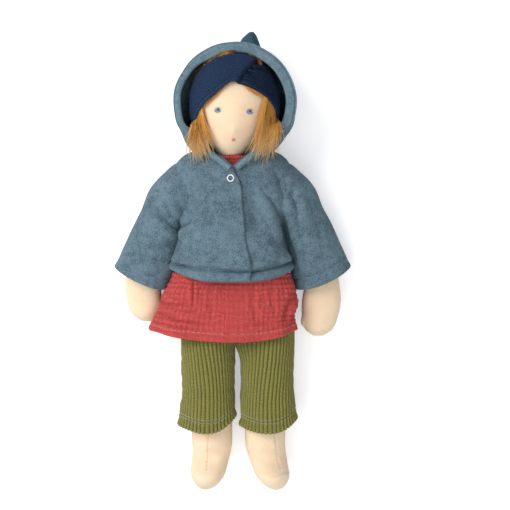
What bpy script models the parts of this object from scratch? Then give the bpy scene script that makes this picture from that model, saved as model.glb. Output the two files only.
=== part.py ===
"""A soft waldorf doll that lies on its back, dressed in tunic, trousers, hooded jacket and headband.

Frame in metres: +X is the doll's own left, +Y points to its head, +Z up out of its chest.
The back of the jacket, hood, sleeves and trousers is pressed flat on the plane z = 0.
"""

import math

import bmesh
import bpy
import numpy as np
from mathutils import Matrix, Vector

# Clearance and cloth
GAP = 0.0003  # kept between any two pieces that lie against each other
FLEECE = 0.0024  # boiled wool of the jacket and hood
GAUZE = 0.0009  # double gauze of the tunic
KNIT = 0.0016  # rib knit of the trousers
CUT_OVERRUN = 0.02  # how far a cutter reaches past what it cuts

# Torso
NECK_Y = 0.0845  # top of the torso, from the middle of the doll
TORSO_LENGTH = 0.124
CHEST_WIDTH = 0.077
CHEST_DEPTH = 0.053  # height of the chest above the table
PELVIS_SHIFT = 0.0043  # the hips lie a little to the doll's left
BODY_SQUARENESS = 2.8  # 2 is an ellipse, more is boxier
LIMB_SQUARENESS = 2.1

# Neck and head
HEAD_WIDTH = 0.071
HEAD_HEIGHT = 0.089
HEAD_DEPTH = 0.074
HEAD_SHIFT = 0.0020  # the head lies a little to the doll's left
CHEEK_SHARE = 0.05
NECK_SPACE = 0.0040  # between the torso and the head, where the string goes round
NECK_RADIUS = 0.0090
NECK_PLAY = 0.0006  # round the neck inside the head, so that the head can turn
NECK_BALL_RADIUS = 0.0110
NECK_OPENING = 0.0107  # radius of the torso's opening, with room for the neck to nod
NECK_BALL_DEPTH = 0.0085  # of the ball's middle, below the top of the torso
NECK_INSET = 0.013  # of the neck, up into the head
STRING_DIAMETER = 0.0016
NOSE_HEIGHT = 0.0020
NOSE_RADIUS = 0.0075
NOSE_BELOW = 0.0188  # below the middle of the head
EYE_WIDTH = 0.0062
EYE_HEIGHT = 0.0047
EYE_SPACING = 0.0276
EYE_BELOW = 0.0012
MOUTH_WIDTH = 0.0036
MOUTH_HEIGHT = 0.0022
MOUTH_BELOW = 0.0265
THREAD = 0.0008  # height of the embroidered eyes and mouth

# Hair and headband
WIG = 0.0010
BAND = 0.0024
BAND_WIDTH = 0.034
BAND_ANGLE = math.radians(41.0)
BAND_PEAK = 0.0210  # of the band's lower edge, above the middle of the head
WIG_BELOW_BAND = 0.0070
LOCK_WIDTH = 0.0160
LOCK_THICKNESS = 0.0060
LOCK_LENGTH_LEFT = 0.048
LOCK_LENGTH_RIGHT = 0.042
LOCK_ABOVE_LEFT = 0.0040  # of its upper end, above the middle of the head
LOCK_BELOW_RIGHT = 0.0060
LOCK_OUT_SHARE = 0.42  # how far out the locks lie, as a share of the head's width
LOCK_IN_SHARE = 0.07
TUFT_WIDTH = 0.030
TUFT_LENGTH = 0.0045
TUFT_RISE = 0.0020  # of its middle, in front of the middle of the head

# Hood
HOOD_EASE = 0.0112  # free room between the headband and the hood, each side
HOOD_TOP_EASE = 0.0060
HOOD_RIM_Z = 0.058
HOOD_FORM_Z = 0.100  # top of the closed form that the hood is the lower part of
HOOD_NAPE_Z = 0.0100  # of the line that the hood folds back on, above the cloth at the nape
BRIM_WIDTH = 0.0092
BRIM_THICKNESS = 0.0056
TIP_ROOT = 0.0100  # start of the pointed tip, below the hood's top
TIP_RISE = 0.0080  # end of the tip, above the hood's top
TIP_WIDTH = 0.0240
TIP_SHIFT = 0.0140  # how far the tip leans to the doll's left

# Jacket
JACKET_LENGTH = 0.0985  # from its neckline to the hem
FRONT_LAP_UNDER = 0.0100  # of the left front, past the middle
FRONT_EDGE_NECK = 0.0005  # sideways place of the upper front's edge at the neck
FRONT_EDGE_HEM = 0.0160
HEM_BAND = 0.0120  # height of the hem, turned up inside and stitched
HEM_STEP = 0.0008  # how far the hem lies behind the cloth above it
HEM_RISE = 0.0100  # of the hem at the sides
HEM_EASE = 0.0012  # how far the jacket stands off the tunic at its hem
SNAP_EDGE_INSET = 0.0073
SNAP_DOWN = 0.0096  # of the snap, below the neckline
SNAP_RADIUS = 0.0035
SNAP_HOLE_RADIUS = 0.0018
SNAP_RING_HEIGHT = 0.0011
SNAP_POST_RADIUS = 0.0023
SNAP_STUD_HEIGHT = 0.0017
FOLD_ANGLE = math.radians(40.0)  # where the fronts start, on the body's section
FLAP_ANGLE = math.radians(34.0)  # where the upper front's fold line lies on that section

# Sleeves and arms
SHOULDER_DROP = 0.0250  # of the middle of the armhole, below the top of the torso
SHOULDER_Z = 0.028
ARMHOLE_RADIUS = 0.0240
ARM_WAY = 0.0030  # free room round the arm where it passes the tunic and the jacket
ARMHOLE_INSET = 0.0020  # of the armhole seam, inside the jacket's side
ARMHOLE_EASE = 0.0010  # round the sleeve's top in the armhole, so that it can turn
SLEEVE_SPAN = 0.0600
SLEEVE_DROP = 0.0825
SLEEVE_DEPTH = 0.0480
ARM_WIDTH = 0.0280
ARM_DEPTH = 0.0240
ARM_SPAN_LEFT = 0.0393
ARM_SPAN_RIGHT = 0.0415
ARM_DROP_LEFT = 0.1245
ARM_DROP_RIGHT = 0.1120
HAND_Z = 0.0135
THUMB_LENGTH = 0.0150
THUMB_RADIUS = 0.0048

# Tunic
TUNIC_COLLAR = 0.0016  # of the tunic, above the top of the torso
BODICE_LENGTH = 0.1210  # from the top of the torso
SKIRT_LENGTH = 0.0325
FLARE = 0.0245  # most that the garments stand off the body at one side
SKIRT_RISE = 0.0125  # of the tunic's hem at the sides
SKIRT_FOLD = 0.0016
SKIRT_FOLDS = 9

# Trousers and legs
SEAT_LENGTH = 0.0270
ELASTIC_WIDTH = 0.0050
ELASTIC_THICKNESS = 0.0012
HIP_SPACING = 0.0515
HIP_Z = 0.0245
THIGH_RADIUS = 0.0203
TROUSER_EASE = 0.0006
LEG_LENGTH = 0.1355  # from the hip's pivot to the sole
TROUSER_LENGTH = 0.0842  # from the hip's pivot to the hem
HEM_FLARE = 0.0022
LEG_IN = {"left": 0.0016, "right": 0.0032}  # how far the shin lies inside the hip
TOE_OUT = {"left": 0.0092, "right": 0.0052}  # how far the toe points out from the shin

# Joint places, read by the fitted pieces too
HIP_HOLE_RADIUS = 0.0022

# Steps of the curved shapes
SIDES = 14
LIMB_SIDES = 12
HEAD_SIDES = 24
HEAD_STEPS = 15
POLE_ANGLE = math.radians(9)  # of the small flat end of a ball

TORSO_HALF = CHEST_WIDTH / 2
SEAT_OUT = GAP + KNIT
TUNIC_IN = SEAT_OUT + GAP
TUNIC_OUT = TUNIC_IN + GAUZE
JACKET_IN = TUNIC_OUT + GAP
JACKET_OUT = JACKET_IN + FLEECE
LAP_IN = JACKET_OUT + GAP
LAP_OUT = LAP_IN + FLEECE
BACK_FLOOR = JACKET_OUT  # height of the torso's back, so that the jacket's back is at z = 0

BAND_IN = GAP + WIG + GAP
BAND_OUT = BAND_IN + BAND
HEAD_Z = FLEECE + GAP + BAND_OUT + GAP + HEAD_DEPTH / 2
HEAD_Y = NECK_Y + NECK_SPACE + HEAD_HEIGHT / 2
HEAD_MIDDLE = Vector((HEAD_SHIFT, HEAD_Y, HEAD_Z))
NECK_PIVOT = Vector((HEAD_SHIFT, NECK_Y - NECK_BALL_DEPTH, HEAD_Z))

SHOULDER_Y = NECK_Y - SHOULDER_DROP
ARMHOLE_X = TORSO_HALF + JACKET_OUT - ARMHOLE_INSET
TORSO_END_Y = NECK_Y - TORSO_LENGTH
TROUSER_RADIUS = THIGH_RADIUS + TROUSER_EASE + KNIT
HIP_Y = TORSO_END_Y - GAP - TROUSER_RADIUS

COLLAR_SHARE = 0.024  # of the torso's length, down to the jacket's neckline
JACKET_TOP_Y = NECK_Y - COLLAR_SHARE * TORSO_LENGTH
JACKET_HEM_Y = JACKET_TOP_Y - JACKET_LENGTH
BODICE_END_Y = NECK_Y - BODICE_LENGTH
SKIRT_TOP_Y = BODICE_END_Y - GAP

# One row for each height of the body: share of the torso's length down from the neck, then the
# half width, the lowest and the highest point and the sideways shift as shares of their sizes.
BODY_SHARES = (
    (0.000, 0.40, 0.500, 1.050, 0.0),
    (COLLAR_SHARE, 0.56, 0.330, 1.050, 0.0),
    (0.050, 0.72, 0.220, 1.040, 0.0),
    (0.085, 0.88, 0.120, 1.025, 0.0),
    (0.140, 0.97, 0.050, 1.010, 0.0),
    (0.220, 1.00, 0.020, 1.000, 0.0),
    (0.400, 1.00, 0.000, 1.000, 0.0),
    (0.606, 0.96, 0.000, 1.000, 0.2),
    (0.805, 0.97, 0.000, 0.990, 0.7),
    (1.000, 1.02, 0.040, 0.950, 1.0),
    (1.124, 1.28, 0.040, 0.970, 1.0),
    (1.323, 1.36, 0.040, 0.950, 1.0),
)


def smooth_rows(rows, steps):
    """Rows of a table with a smooth curve run through them, steps new rows for each old one."""
    table = [np.array(row, float) for row in rows]
    found = []
    for index in range(len(table) - 1):
        before = table[max(index - 1, 0)]
        start, end = table[index], table[index + 1]
        after = table[min(index + 2, len(table) - 1)]
        for step in range(steps):
            t = step / steps
            bend = 2 * before - 5 * start + 4 * end - after
            twist = 3 * (start - end) + after - before
            found.append(start + 0.5 * t * (end - before + t * (bend + t * twist)))
    found.append(table[-1])
    return found


def body_at(y):
    """(shift, half width, lowest, highest) of the stuffed body at a height along it."""
    down = (NECK_Y - y) / TORSO_LENGTH
    places = [row[0] for row in BODY_SHARES]
    width, low, high, shift = (
        float(np.interp(down, places, [row[column] for row in BODY_SHARES]))
        for column in (1, 2, 3, 4)
    )
    return shift * PELVIS_SHIFT, width * TORSO_HALF, low * CHEST_DEPTH, high * CHEST_DEPTH


def heights_between(low, high):
    """The heights of the body's rows from low to high, so that layers of cloth lie parallel."""
    reach = SHOULDER_Y - SKIRT_TOP_Y + SKIRT_LENGTH
    rows = [NECK_Y - TORSO_LENGTH * row[0] for row in BODY_SHARES if row[0] < 0.3]
    rows = sorted(rows + [SHOULDER_Y - reach * row[0] for row in FLARE_SHARES[1:]])
    return [low] + [y for y in rows if low + GAP < y < high - GAP] + [high]


# How far the garments stand off the body at a height: share of the way from the armhole to the
# hem of the skirt, then the stand-off at the doll's right and left as shares of the flare.
FLARE_SHARES = (
    (0.00, 0.00, 0.00),
    (0.20, 0.00, 0.00),
    (0.42, 0.26, 0.18),
    (0.595, 0.52, 0.36),
    (0.66, 0.82, 0.36),
    (0.745, 0.93, 0.30),
    (0.85, 0.98, 0.08),
    (1.00, 0.92, 0.03),
)


def flare_at(y):
    """(at the doll's right, at its left) stand-off of the jacket and tunic from the body."""
    down = (SHOULDER_Y - y) / (SHOULDER_Y - SKIRT_TOP_Y + SKIRT_LENGTH)
    places, right, left = zip(*FLARE_SHARES)
    return float(np.interp(down, places, right)) * FLARE, float(np.interp(down, places, left)) * FLARE


def angles_between(start, end):
    """The angles of the body's columns from start to end, in the direction that the two give."""
    step = math.copysign(math.pi / SIDES, end - start)
    first = math.floor(start / step + 1.1)
    grid = [index * step for index in range(first, first + 2 * SIDES)]
    return [start] + [angle for angle in grid if (end - angle) / step > 0.1] + [end]


def bent(value, squareness):
    """A cosine or sine turned into that of a superellipse."""
    return math.copysign(abs(value) ** (2 / squareness), value)


def smoothstep(value, start, end):
    share = min(max((value - start) / (end - start), 0.0), 1.0)
    return share * share * (3 - 2 * share)


def ring(middle, across, up, squareness=2.0, floor=None, sides=LIMB_SIDES):
    """A closed ring of points about a middle; across and up are its two half axes."""
    points = []
    for index in range(sides):
        angle = 2 * math.pi * index / sides
        point = (
            Vector(middle)
            + Vector(across) * bent(math.cos(angle), squareness)
            + Vector(up) * bent(math.sin(angle), squareness)
        )
        if floor is not None:
            point.z = max(point.z, floor)
        points.append(point)
    return points


def finish(name, mesh, material):
    """Makes the mesh an object with its material and smooth shading."""
    bmesh.ops.recalc_face_normals(mesh, faces=mesh.faces)
    data = bpy.data.meshes.new(name)
    mesh.to_mesh(data)
    mesh.free()
    data.shade_smooth()
    data.set_sharp_from_angle(angle=math.radians(50))
    obj = bpy.data.objects.new(name, data)
    bpy.context.scene.collection.objects.link(obj)
    if material:
        data.materials.append(material)
    return obj


def strip(mesh, first, second, closed):
    """Faces between two rows of vertices."""
    count = len(first)
    for index in range(count if closed else count - 1):
        after = (index + 1) % count
        mesh.faces.new((first[index], first[after], second[after], second[index]))


def solid(name, rings, material=None):
    """A closed body lofted through rings, its two ends filled."""
    mesh = bmesh.new()
    rows = [[mesh.verts.new(point) for point in points] for points in rings]
    for first, second in zip(rows, rows[1:]):
        strip(mesh, first, second, True)
    mesh.faces.new(rows[0])
    mesh.faces.new(rows[-1])
    return finish(name, mesh, material)


def shell(name, outer, inner, material=None, closed=True):
    """Cloth between an outer and an inner set of rows: a tube, or a panel when not closed."""
    mesh = bmesh.new()
    out = [[mesh.verts.new(point) for point in points] for points in outer]
    inn = [[mesh.verts.new(point) for point in points] for points in inner]
    for rows in (out, inn):
        for first, second in zip(rows, rows[1:]):
            strip(mesh, first, second, closed)
    strip(mesh, out[0], inn[0], closed)
    strip(mesh, out[-1], inn[-1], closed)
    if not closed:
        for column in (0, -1):
            strip(mesh, [row[column] for row in out], [row[column] for row in inn], False)
    return finish(name, mesh, material)


def boolean(obj, other, operation="DIFFERENCE"):
    """Cuts, joins or keeps the common part of an object and a hidden helper."""
    modifier = obj.modifiers.new(f"{operation.lower()} {other.name}", "BOOLEAN")
    modifier.object = other
    modifier.operation = operation
    other.hide_render = True
    other.display_type = "WIRE"
    return obj


def paint(name, colour, roughness, metallic=0.0):
    material = bpy.data.materials.new(name)
    material.use_nodes = True
    shader = material.node_tree.nodes["Principled BSDF"]
    shader.inputs["Base Color"].default_value = (*colour, 1.0)
    shader.inputs["Roughness"].default_value = roughness
    shader.inputs["Metallic"].default_value = metallic
    return material


for old in list(bpy.data.objects):
    bpy.data.objects.remove(old, do_unlink=True)

# Materials, as linear colours
FLEECE_BLUE = paint("fleece_blue", (0.13, 0.22, 0.28), 0.95)
BRIM_BLUE = paint("brim_blue", (0.18, 0.28, 0.33), 0.95)
GAUZE_RED = paint("gauze_red", (0.60, 0.08, 0.075), 0.85)
KNIT_OLIVE = paint("knit_olive", (0.25, 0.23, 0.045), 0.9)
JERSEY_SKIN = paint("jersey_skin", (0.93, 0.74, 0.52), 0.85)
MOHAIR = paint("mohair", (0.55, 0.27, 0.06), 0.7)
KNIT_NAVY = paint("knit_navy", (0.022, 0.045, 0.11), 0.9)
THREAD_BLUE = paint("thread_blue", (0.19, 0.28, 0.40), 0.6)
THREAD_RED = paint("thread_red", (0.82, 0.21, 0.17), 0.6)
STRING_WHITE = paint("string_white", (0.85, 0.82, 0.75), 0.8)
ELASTIC_WHITE = paint("elastic_white", (0.80, 0.80, 0.78), 0.7)
SNAP_WHITE = paint("snap_white", (0.86, 0.86, 0.85), 0.35)


RING_ANGLES = [math.pi * index / SIDES for index in range(SIDES * 2)]


def body_ring(y, off, flare=(0.0, 0.0)):
    """The body's section at a height, grown by an offset, with its back flat on that layer's floor."""
    return [body_point(y, angle, off, flare) for angle in RING_ANGLES]


def body_point(y, angle, off, flare=(0.0, 0.0), fold=0.0, sunk=0.0):
    """A point on the grown section; the angle runs from the doll's left over its front."""
    shift, half, low, high = body_at(y)
    across, up = bent(math.cos(angle), BODY_SQUARENESS), bent(math.sin(angle), BODY_SQUARENESS)
    grown = off + fold
    side = flare[0] if across < 0 else flare[1]
    x = shift + across * (half + grown + side)
    z = (low + high) / 2 + BACK_FLOOR / 2 + up * ((high - low) / 2 - BACK_FLOOR / 2 + grown)
    if up < 0:
        z -= 2 * sunk
    return Vector((x, y, max(z, BACK_FLOOR - off - sunk)))


def span(start, end, steps):
    return [start + (end - start) * index / steps for index in range(steps + 1)]


# Torso, with a socket for the ball of the neck
torso_heights = heights_between(TORSO_END_Y, NECK_Y)
torso = solid("torso", [body_ring(y, 0.0) for y in torso_heights], JERSEY_SKIN)


def ball_rows(radius, stop_radius, steps):
    """(distance from the middle, radius) from the pole of a ball until it narrows to a neck."""
    stop = math.pi - math.asin(stop_radius / radius)
    return [
        (-radius * math.cos(angle), radius * math.sin(angle))
        for angle in span(POLE_ANGLE, stop, steps)
    ]


def neck_turned(name, ball, neck, top_y, material=None):
    """A ball at the neck's pivot that runs up into a round neck."""
    rows = [(NECK_PIVOT.y + along, radius) for along, radius in ball_rows(ball, neck, 8)]
    rows.append((top_y, neck))
    rings = [
        ring((NECK_PIVOT.x, y, NECK_PIVOT.z), (radius, 0, 0), (0, 0, radius))
        for y, radius in rows
    ]
    return solid(name, rings, material)


neck_top = NECK_Y + NECK_SPACE + NECK_INSET
neck_core = neck_turned("neck_core", NECK_BALL_RADIUS, NECK_RADIUS, neck_top, STRING_WHITE)
neck_play = NECK_BALL_RADIUS + GAP
neck_socket = neck_turned("neck_socket_cutter", neck_play, NECK_OPENING, NECK_Y + CUT_OVERRUN)
boolean(torso, neck_socket)


def torus(name, middle, radius, thickness, material, axis="Y", flat=1.0):
    """A closed ring of string, lofted round its axis."""
    mesh = bmesh.new()
    rows = []
    for index in range(SIDES):
        turn = 2 * math.pi * index / SIDES
        out = Vector((math.cos(turn), 0, math.sin(turn)))
        along = Vector((0, 1, 0))
        if axis == "Z":
            out, along = Vector((out.x, out.z, 0)), Vector((0, 0, 1))
        points = ring(
            middle + out * radius, out * thickness / 2, along * thickness / 2 * flat, sides=8
        )
        rows.append([mesh.verts.new(point) for point in points])
    for index in range(SIDES):
        strip(mesh, rows[index], rows[(index + 1) % SIDES], True)
    return finish(name, mesh, material)


string_middle = Vector((NECK_PIVOT.x, NECK_Y + NECK_SPACE * 0.62, NECK_PIVOT.z))
string_radius = NECK_RADIUS + GAP + STRING_DIAMETER / 2
torus("neck_string", string_middle, string_radius, STRING_DIAMETER, STRING_WHITE)


# Head, and what follows its shape
def head_rings(off):
    """Rings of the head from crown to chin, grown by an offset."""
    rings = []
    for polar in span(math.radians(7), math.radians(173), HEAD_STEPS):
        fullness = math.sin(polar) * (1 - CHEEK_SHARE * math.cos(polar) * math.sin(polar))
        y = HEAD_Y + math.cos(polar) * (HEAD_HEIGHT / 2 + off)
        across = fullness * (HEAD_WIDTH / 2 + off)
        up = fullness * (HEAD_DEPTH / 2 + off)
        points = ring((HEAD_SHIFT, y, HEAD_Z), (across, 0, 0), (0, 0, up), sides=HEAD_SIDES)
        for point in points:
            away = math.hypot(point.x - HEAD_SHIFT, point.y - HEAD_Y + NOSE_BELOW)
            if point.z > HEAD_Z:
                point.z += NOSE_HEIGHT * (1 - smoothstep(away, 0.0, NOSE_RADIUS))
        rings.append(points)
    return rings


head = solid("head", head_rings(0.0), JERSEY_SKIN)
neck_room = NECK_RADIUS + NECK_PLAY
neck_hole = solid(
    "neck_hole_cutter",
    [
        ring((NECK_PIVOT.x, y, NECK_PIVOT.z), (neck_room, 0, 0), (0, 0, neck_room))
        for y in (NECK_Y, neck_top + GAP)
    ],
)
boolean(head, neck_hole)


def tilted_slab(name, low, high):
    """A slab across the head, tilted back from the brow to the nape; its faces at two heights."""
    along = Vector((0, math.cos(BAND_ANGLE), math.sin(-BAND_ANGLE)))
    level = Vector((0, math.sin(BAND_ANGLE), math.cos(BAND_ANGLE)))
    brow = HEAD_MIDDLE + Vector((0, BAND_PEAK, HEAD_DEPTH / 2))
    reach = HEAD_HEIGHT + CUT_OVERRUN
    rings = []
    for side in (-1, 1):
        corners = []
        for height, back in ((low, 1), (high, 1), (high, -1), (low, -1)):
            corner = brow + along * height + level * back * reach * 1.5
            corners.append(corner + Vector((side * reach, 0, 0)))
        rings.append(corners)
    return solid(name, rings)


def head_layer(name, inner, outer, material):
    """A layer of even thickness over the head, before it is trimmed."""
    layer = solid(name, head_rings(outer), material)
    hollow = solid(f"{name}_hollow_cutter", head_rings(inner))
    return boolean(layer, hollow)


wig_cap = head_layer("wig_cap", GAP, GAP + WIG, MOHAIR)
boolean(wig_cap, tilted_slab("wig_slab", -WIG_BELOW_BAND, 2 * HEAD_HEIGHT), "INTERSECT")
headband = head_layer("headband", BAND_IN, BAND_OUT, KNIT_NAVY)
boolean(headband, tilted_slab("headband_slab", 0.0, BAND_WIDTH), "INTERSECT")


def face_patch(name, side, below, width, height, material):
    """A pad of embroidery on the face: the part of a thin layer inside an upright ellipse."""
    middle = HEAD_MIDDLE + Vector((side, -below, 0))
    patch = head_layer(name, GAP, GAP + THREAD, material)
    column = solid(
        f"{name}_column",
        [
            ring(middle + Vector((0, 0, z)), (width / 2, 0, 0), (0, height / 2, 0))
            for z in (0.0, HEAD_DEPTH)
        ],
    )
    return boolean(patch, column, "INTERSECT")


face_patch("eye_left", EYE_SPACING / 2, EYE_BELOW, EYE_WIDTH, EYE_HEIGHT, THREAD_BLUE)
face_patch("eye_right", -EYE_SPACING / 2, EYE_BELOW, EYE_WIDTH, EYE_HEIGHT, THREAD_BLUE)
face_patch("mouth", 0.0, MOUTH_BELOW, MOUTH_WIDTH, MOUTH_HEIGHT, THREAD_RED)


# Hood: a bowl round the back of the head, open to the front and at the neck
HOOD_HALF = HEAD_WIDTH / 2 + BAND_OUT + HOOD_EASE + FLEECE
HOOD_TOP_Y = HEAD_Y + HEAD_HEIGHT / 2 + BAND_OUT + HOOD_TOP_EASE + FLEECE
HOOD_START_Y = JACKET_TOP_Y + GAP
HOOD_LENGTH = HOOD_TOP_Y - HOOD_START_Y

# Share of the hood's length from the neck, half width and lowest point, as shares.
HOOD_SHARES = (
    (0.000, 0.58, 0.220),
    (0.060, 0.64, 0.130),
    (0.130, 0.69, 0.040),
    (0.220, 0.80, -0.030),
    (0.330, 0.92, -0.050),
    (0.480, 1.00, -0.050),
    (0.600, 0.98, -0.050),
    (0.740, 0.87, -0.040),
    (0.860, 0.68, 0.020),
    (0.950, 0.43, 0.160),
    (0.990, 0.18, 0.320),
)


# Along the pointed tip: half width, and its lean to the doll's left, as shares.
TIP_SHARES = (
    (0.00, 0.90, 0.60),
    (0.40, 1.00, 0.80),
    (0.66, 0.88, 0.90),
    (0.86, 0.52, 0.98),
    (1.00, 0.14, 1.00),
)


def hood_shift(along):
    """The hood starts in line with the torso and follows the head sideways."""
    return HEAD_SHIFT * smoothstep(along, 0.0, HOOD_SHARES[4][0])


def hood_rings(off, floor, start_y=HOOD_START_Y):
    """Rings of the hood's closed form from the neck up, grown by an offset."""
    rings = []
    for along, width, low in smooth_rows(HOOD_SHARES, 2):
        y = start_y + along * (HOOD_TOP_Y + off - start_y)
        bottom = low * HOOD_RIM_Z - off
        middle = (hood_shift(along), y, (bottom + HOOD_FORM_Z + off) / 2)
        up = (0, 0, (HOOD_FORM_Z + off - bottom) / 2)
        across = (width * HOOD_HALF + off, 0, 0)
        rings.append(ring(middle, across, up, 2.3, floor, HEAD_SIDES))
    return rings


hood = solid("hood", hood_rings(0.0, 0.0), FLEECE_BLUE)
tip_rings = []
for along, width, lean in TIP_SHARES:
    tip_y = HOOD_TOP_Y - TIP_ROOT + along * (TIP_ROOT + TIP_RISE)
    tip_middle = (HEAD_SHIFT + lean * TIP_SHIFT, tip_y, HOOD_RIM_Z / 2)
    half = width * TIP_WIDTH / 2
    tip_rings.append(ring(tip_middle, (half, 0, 0), (0, 0, half), sides=SIDES))
tip = solid("hood_tip_form", tip_rings)
boolean(hood, tip, "UNION")
boolean(hood, solid("hood_hollow_cutter", hood_rings(-FLEECE, FLEECE, HOOD_START_Y - GAP)))


def block(name, low, high):
    """A box between two corners."""
    rings = [
        [Vector((low[0], y, low[2])), Vector((high[0], y, low[2])),
         Vector((high[0], y, high[2])), Vector((low[0], y, high[2]))]
        for y in (low[1], high[1])
    ]
    return solid(name, rings)


front_cut = block(
    "hood_front_cutter",
    (-HOOD_HALF * 2, HOOD_START_Y - CUT_OVERRUN, HOOD_RIM_Z),
    (HOOD_HALF * 2, HOOD_TOP_Y + CUT_OVERRUN, HOOD_FORM_Z + CUT_OVERRUN),
)
boolean(hood, front_cut)


def swept(name, path, half_wide, half_thick, material, sides=10, ends=0.35):
    """A flat roll of cloth along a path that lies level; its two ends are drawn in."""
    rings = []
    for index, point in enumerate(path):
        before, after = path[max(index - 1, 0)], path[min(index + 1, len(path) - 1)]
        way = (after - before).normalized()
        across = way.cross(Vector((0, 0, 1))).normalized()
        drawn = ends if index in (0, len(path) - 1) else 1.0
        rings.append(
            ring(
                point, across * half_wide * drawn, Vector((0, 0, half_thick * drawn)),
                2.6, sides=sides,
            )
        )
    return solid(name, rings, material)


brim_z = HOOD_RIM_Z + GAP + BRIM_THICKNESS / 2
brim_rows = smooth_rows(HOOD_SHARES[1:10], 2)
top_y = HOOD_TOP_Y - BRIM_WIDTH / 2


def brim_point(row, side):
    along, width = row[:2]
    x = hood_shift(along) + side * (width * HOOD_HALF - BRIM_WIDTH / 2)
    return Vector((x, min(HOOD_START_Y + along * HOOD_LENGTH, top_y), brim_z))


brim_points = [brim_point(row, 1) for row in brim_rows]
brim_points.append(Vector((HEAD_SHIFT, top_y, brim_z)))
brim_points += [brim_point(row, -1) for row in reversed(brim_rows)]
hood_brim = swept("hood_brim", brim_points, BRIM_WIDTH / 2, BRIM_THICKNESS / 2, BRIM_BLUE, 8)


# Hair: a lock at each side of the face, over the brim's ends, and a tuft at the crown
HAIR_IN = GAP + WIG + GAP
brim_top = brim_z + BRIM_THICKNESS / 2


def on_head(x, y, off):
    """Height of the front of the head, grown by an offset, or of its middle beyond its edge."""
    across = (x - HEAD_SHIFT) / (HEAD_WIDTH / 2 + off)
    along = (y - HEAD_Y) / (HEAD_HEIGHT / 2 + off)
    return HEAD_Z + (HEAD_DEPTH / 2 + off) * math.sqrt(max(1 - across**2 - along**2, 0.0))


def hair_lock(name, side, length, top_y):
    """A flat lock of hair that lies on the side of the face and then on the brim."""
    path = []
    for share in span(0.0, 1.0, 8):
        x = HEAD_SHIFT + side * HEAD_WIDTH * (LOCK_OUT_SHARE - LOCK_IN_SHARE * share * share)
        y = top_y - share * length
        lowest = brim_top + GAP + LOCK_THICKNESS * 0.5
        path.append(Vector((x, y, max(on_head(x, y, HAIR_IN + LOCK_THICKNESS / 2), lowest))))
    lock = swept(name, path, LOCK_WIDTH / 2, LOCK_THICKNESS / 2, MOHAIR, 10)
    boolean(lock, solid(f"{name}_head_cutter", head_rings(HAIR_IN)))
    return boolean(lock, tilted_slab(f"{name}_band_cutter", -GAP, 2 * HEAD_HEIGHT))


hair_left = hair_lock("hair_left", 1, LOCK_LENGTH_LEFT, HEAD_Y + LOCK_ABOVE_LEFT)
hair_right = hair_lock("hair_right", -1, LOCK_LENGTH_RIGHT, HEAD_Y - LOCK_BELOW_RIGHT)


# Jacket: back with both sides, and two fronts


def hem_share(y):
    """None at the armhole, all at the jacket's hem."""
    return smoothstep(SHOULDER_Y - ARMHOLE_RADIUS - y, 0.0, SHOULDER_Y - ARMHOLE_RADIUS - JACKET_HEM_Y)


def panel(name, angles_at, inner_at, outer_at, material):
    """A jacket panel over the body: rows up the doll, columns round it, at offsets per column."""
    outer, inner = [], []
    for y in jacket_heights:
        step = HEM_STEP if y < BAND_TOP_Y else 0.0
        out, inn = [], []
        for angle in angles_at(y):
            risen = y + HEM_RISE * hem_share(y) * math.cos(angle) ** 2
            flare = flare_at(risen)
            ease = HEM_EASE * hem_share(risen)
            out.append(body_point(risen, angle, outer_at(angle) - step, flare, ease))
            inn.append(body_point(risen, angle, inner_at(angle), flare, ease))
        outer.append(out)
        inner.append(inn)
    return shell(name, outer, inner, material, closed=False)


BAND_TOP_Y = JACKET_HEM_Y + HEM_BAND
jacket_heights = heights_between(JACKET_HEM_Y, BAND_TOP_Y - HEM_STEP)
jacket_heights += heights_between(BAND_TOP_Y, JACKET_TOP_Y)
back_angles = angles_between(FOLD_ANGLE, -math.pi - FOLD_ANGLE)
jacket_back = panel(
    "jacket_back", lambda y: back_angles,
    lambda angle: JACKET_IN, lambda angle: JACKET_OUT, FLEECE_BLUE,
)


def angle_at(x, y, off):
    """The section's angle on the front where it passes a sideways place."""
    shift, half = body_at(y)[:2]
    wide = half + off + flare_at(y)[0 if x < shift else 1]
    share = min(max((x - shift) / wide, -1.0), 1.0)
    return math.acos(bent(share, 4 / BODY_SQUARENESS) if share else 0.0)


FRONT_GAP_ANGLE = GAP / (TORSO_HALF * math.sin(FOLD_ANGLE))


def front_edge(y):
    """Sideways place of the upper front's edge: in the middle at the neck, to the left at the hem."""
    down = (JACKET_TOP_Y - y) / JACKET_LENGTH
    return FRONT_EDGE_NECK + (FRONT_EDGE_HEM - FRONT_EDGE_NECK) * smoothstep(down, -0.5, 1.1)


def edge_angles(start, y, x, off):
    """Columns from a fold to a front edge: those of the body, the last ones drawn to the edge."""
    end = angle_at(x, y, off)
    middle = math.pi / 2
    columns = angles_between(start, middle)
    return [angle + (end - middle) * smoothstep(angle, start, middle) for angle in columns]


def left_angles(y):
    start = FOLD_ANGLE + FRONT_GAP_ANGLE
    return edge_angles(start, y, front_edge(y) - FRONT_LAP_UNDER, JACKET_OUT)


def right_angles(y):
    start = math.pi - FOLD_ANGLE - FRONT_GAP_ANGLE
    return edge_angles(start, y, front_edge(y), LAP_OUT)


def lap(angle):
    """How far the upper front lies out: none at its fold, a layer of cloth where it laps."""
    return (FLEECE + GAP) * smoothstep(math.pi - FOLD_ANGLE - angle, 0.0, math.radians(22))


jacket_front_left = panel(
    "jacket_front_left", left_angles,
    lambda angle: JACKET_IN, lambda angle: JACKET_OUT, FLEECE_BLUE,
)
jacket_front_right = panel(
    "jacket_front_right", right_angles,
    lambda angle: JACKET_IN + lap(angle), lambda angle: JACKET_OUT + lap(angle), FLEECE_BLUE,
)


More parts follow.
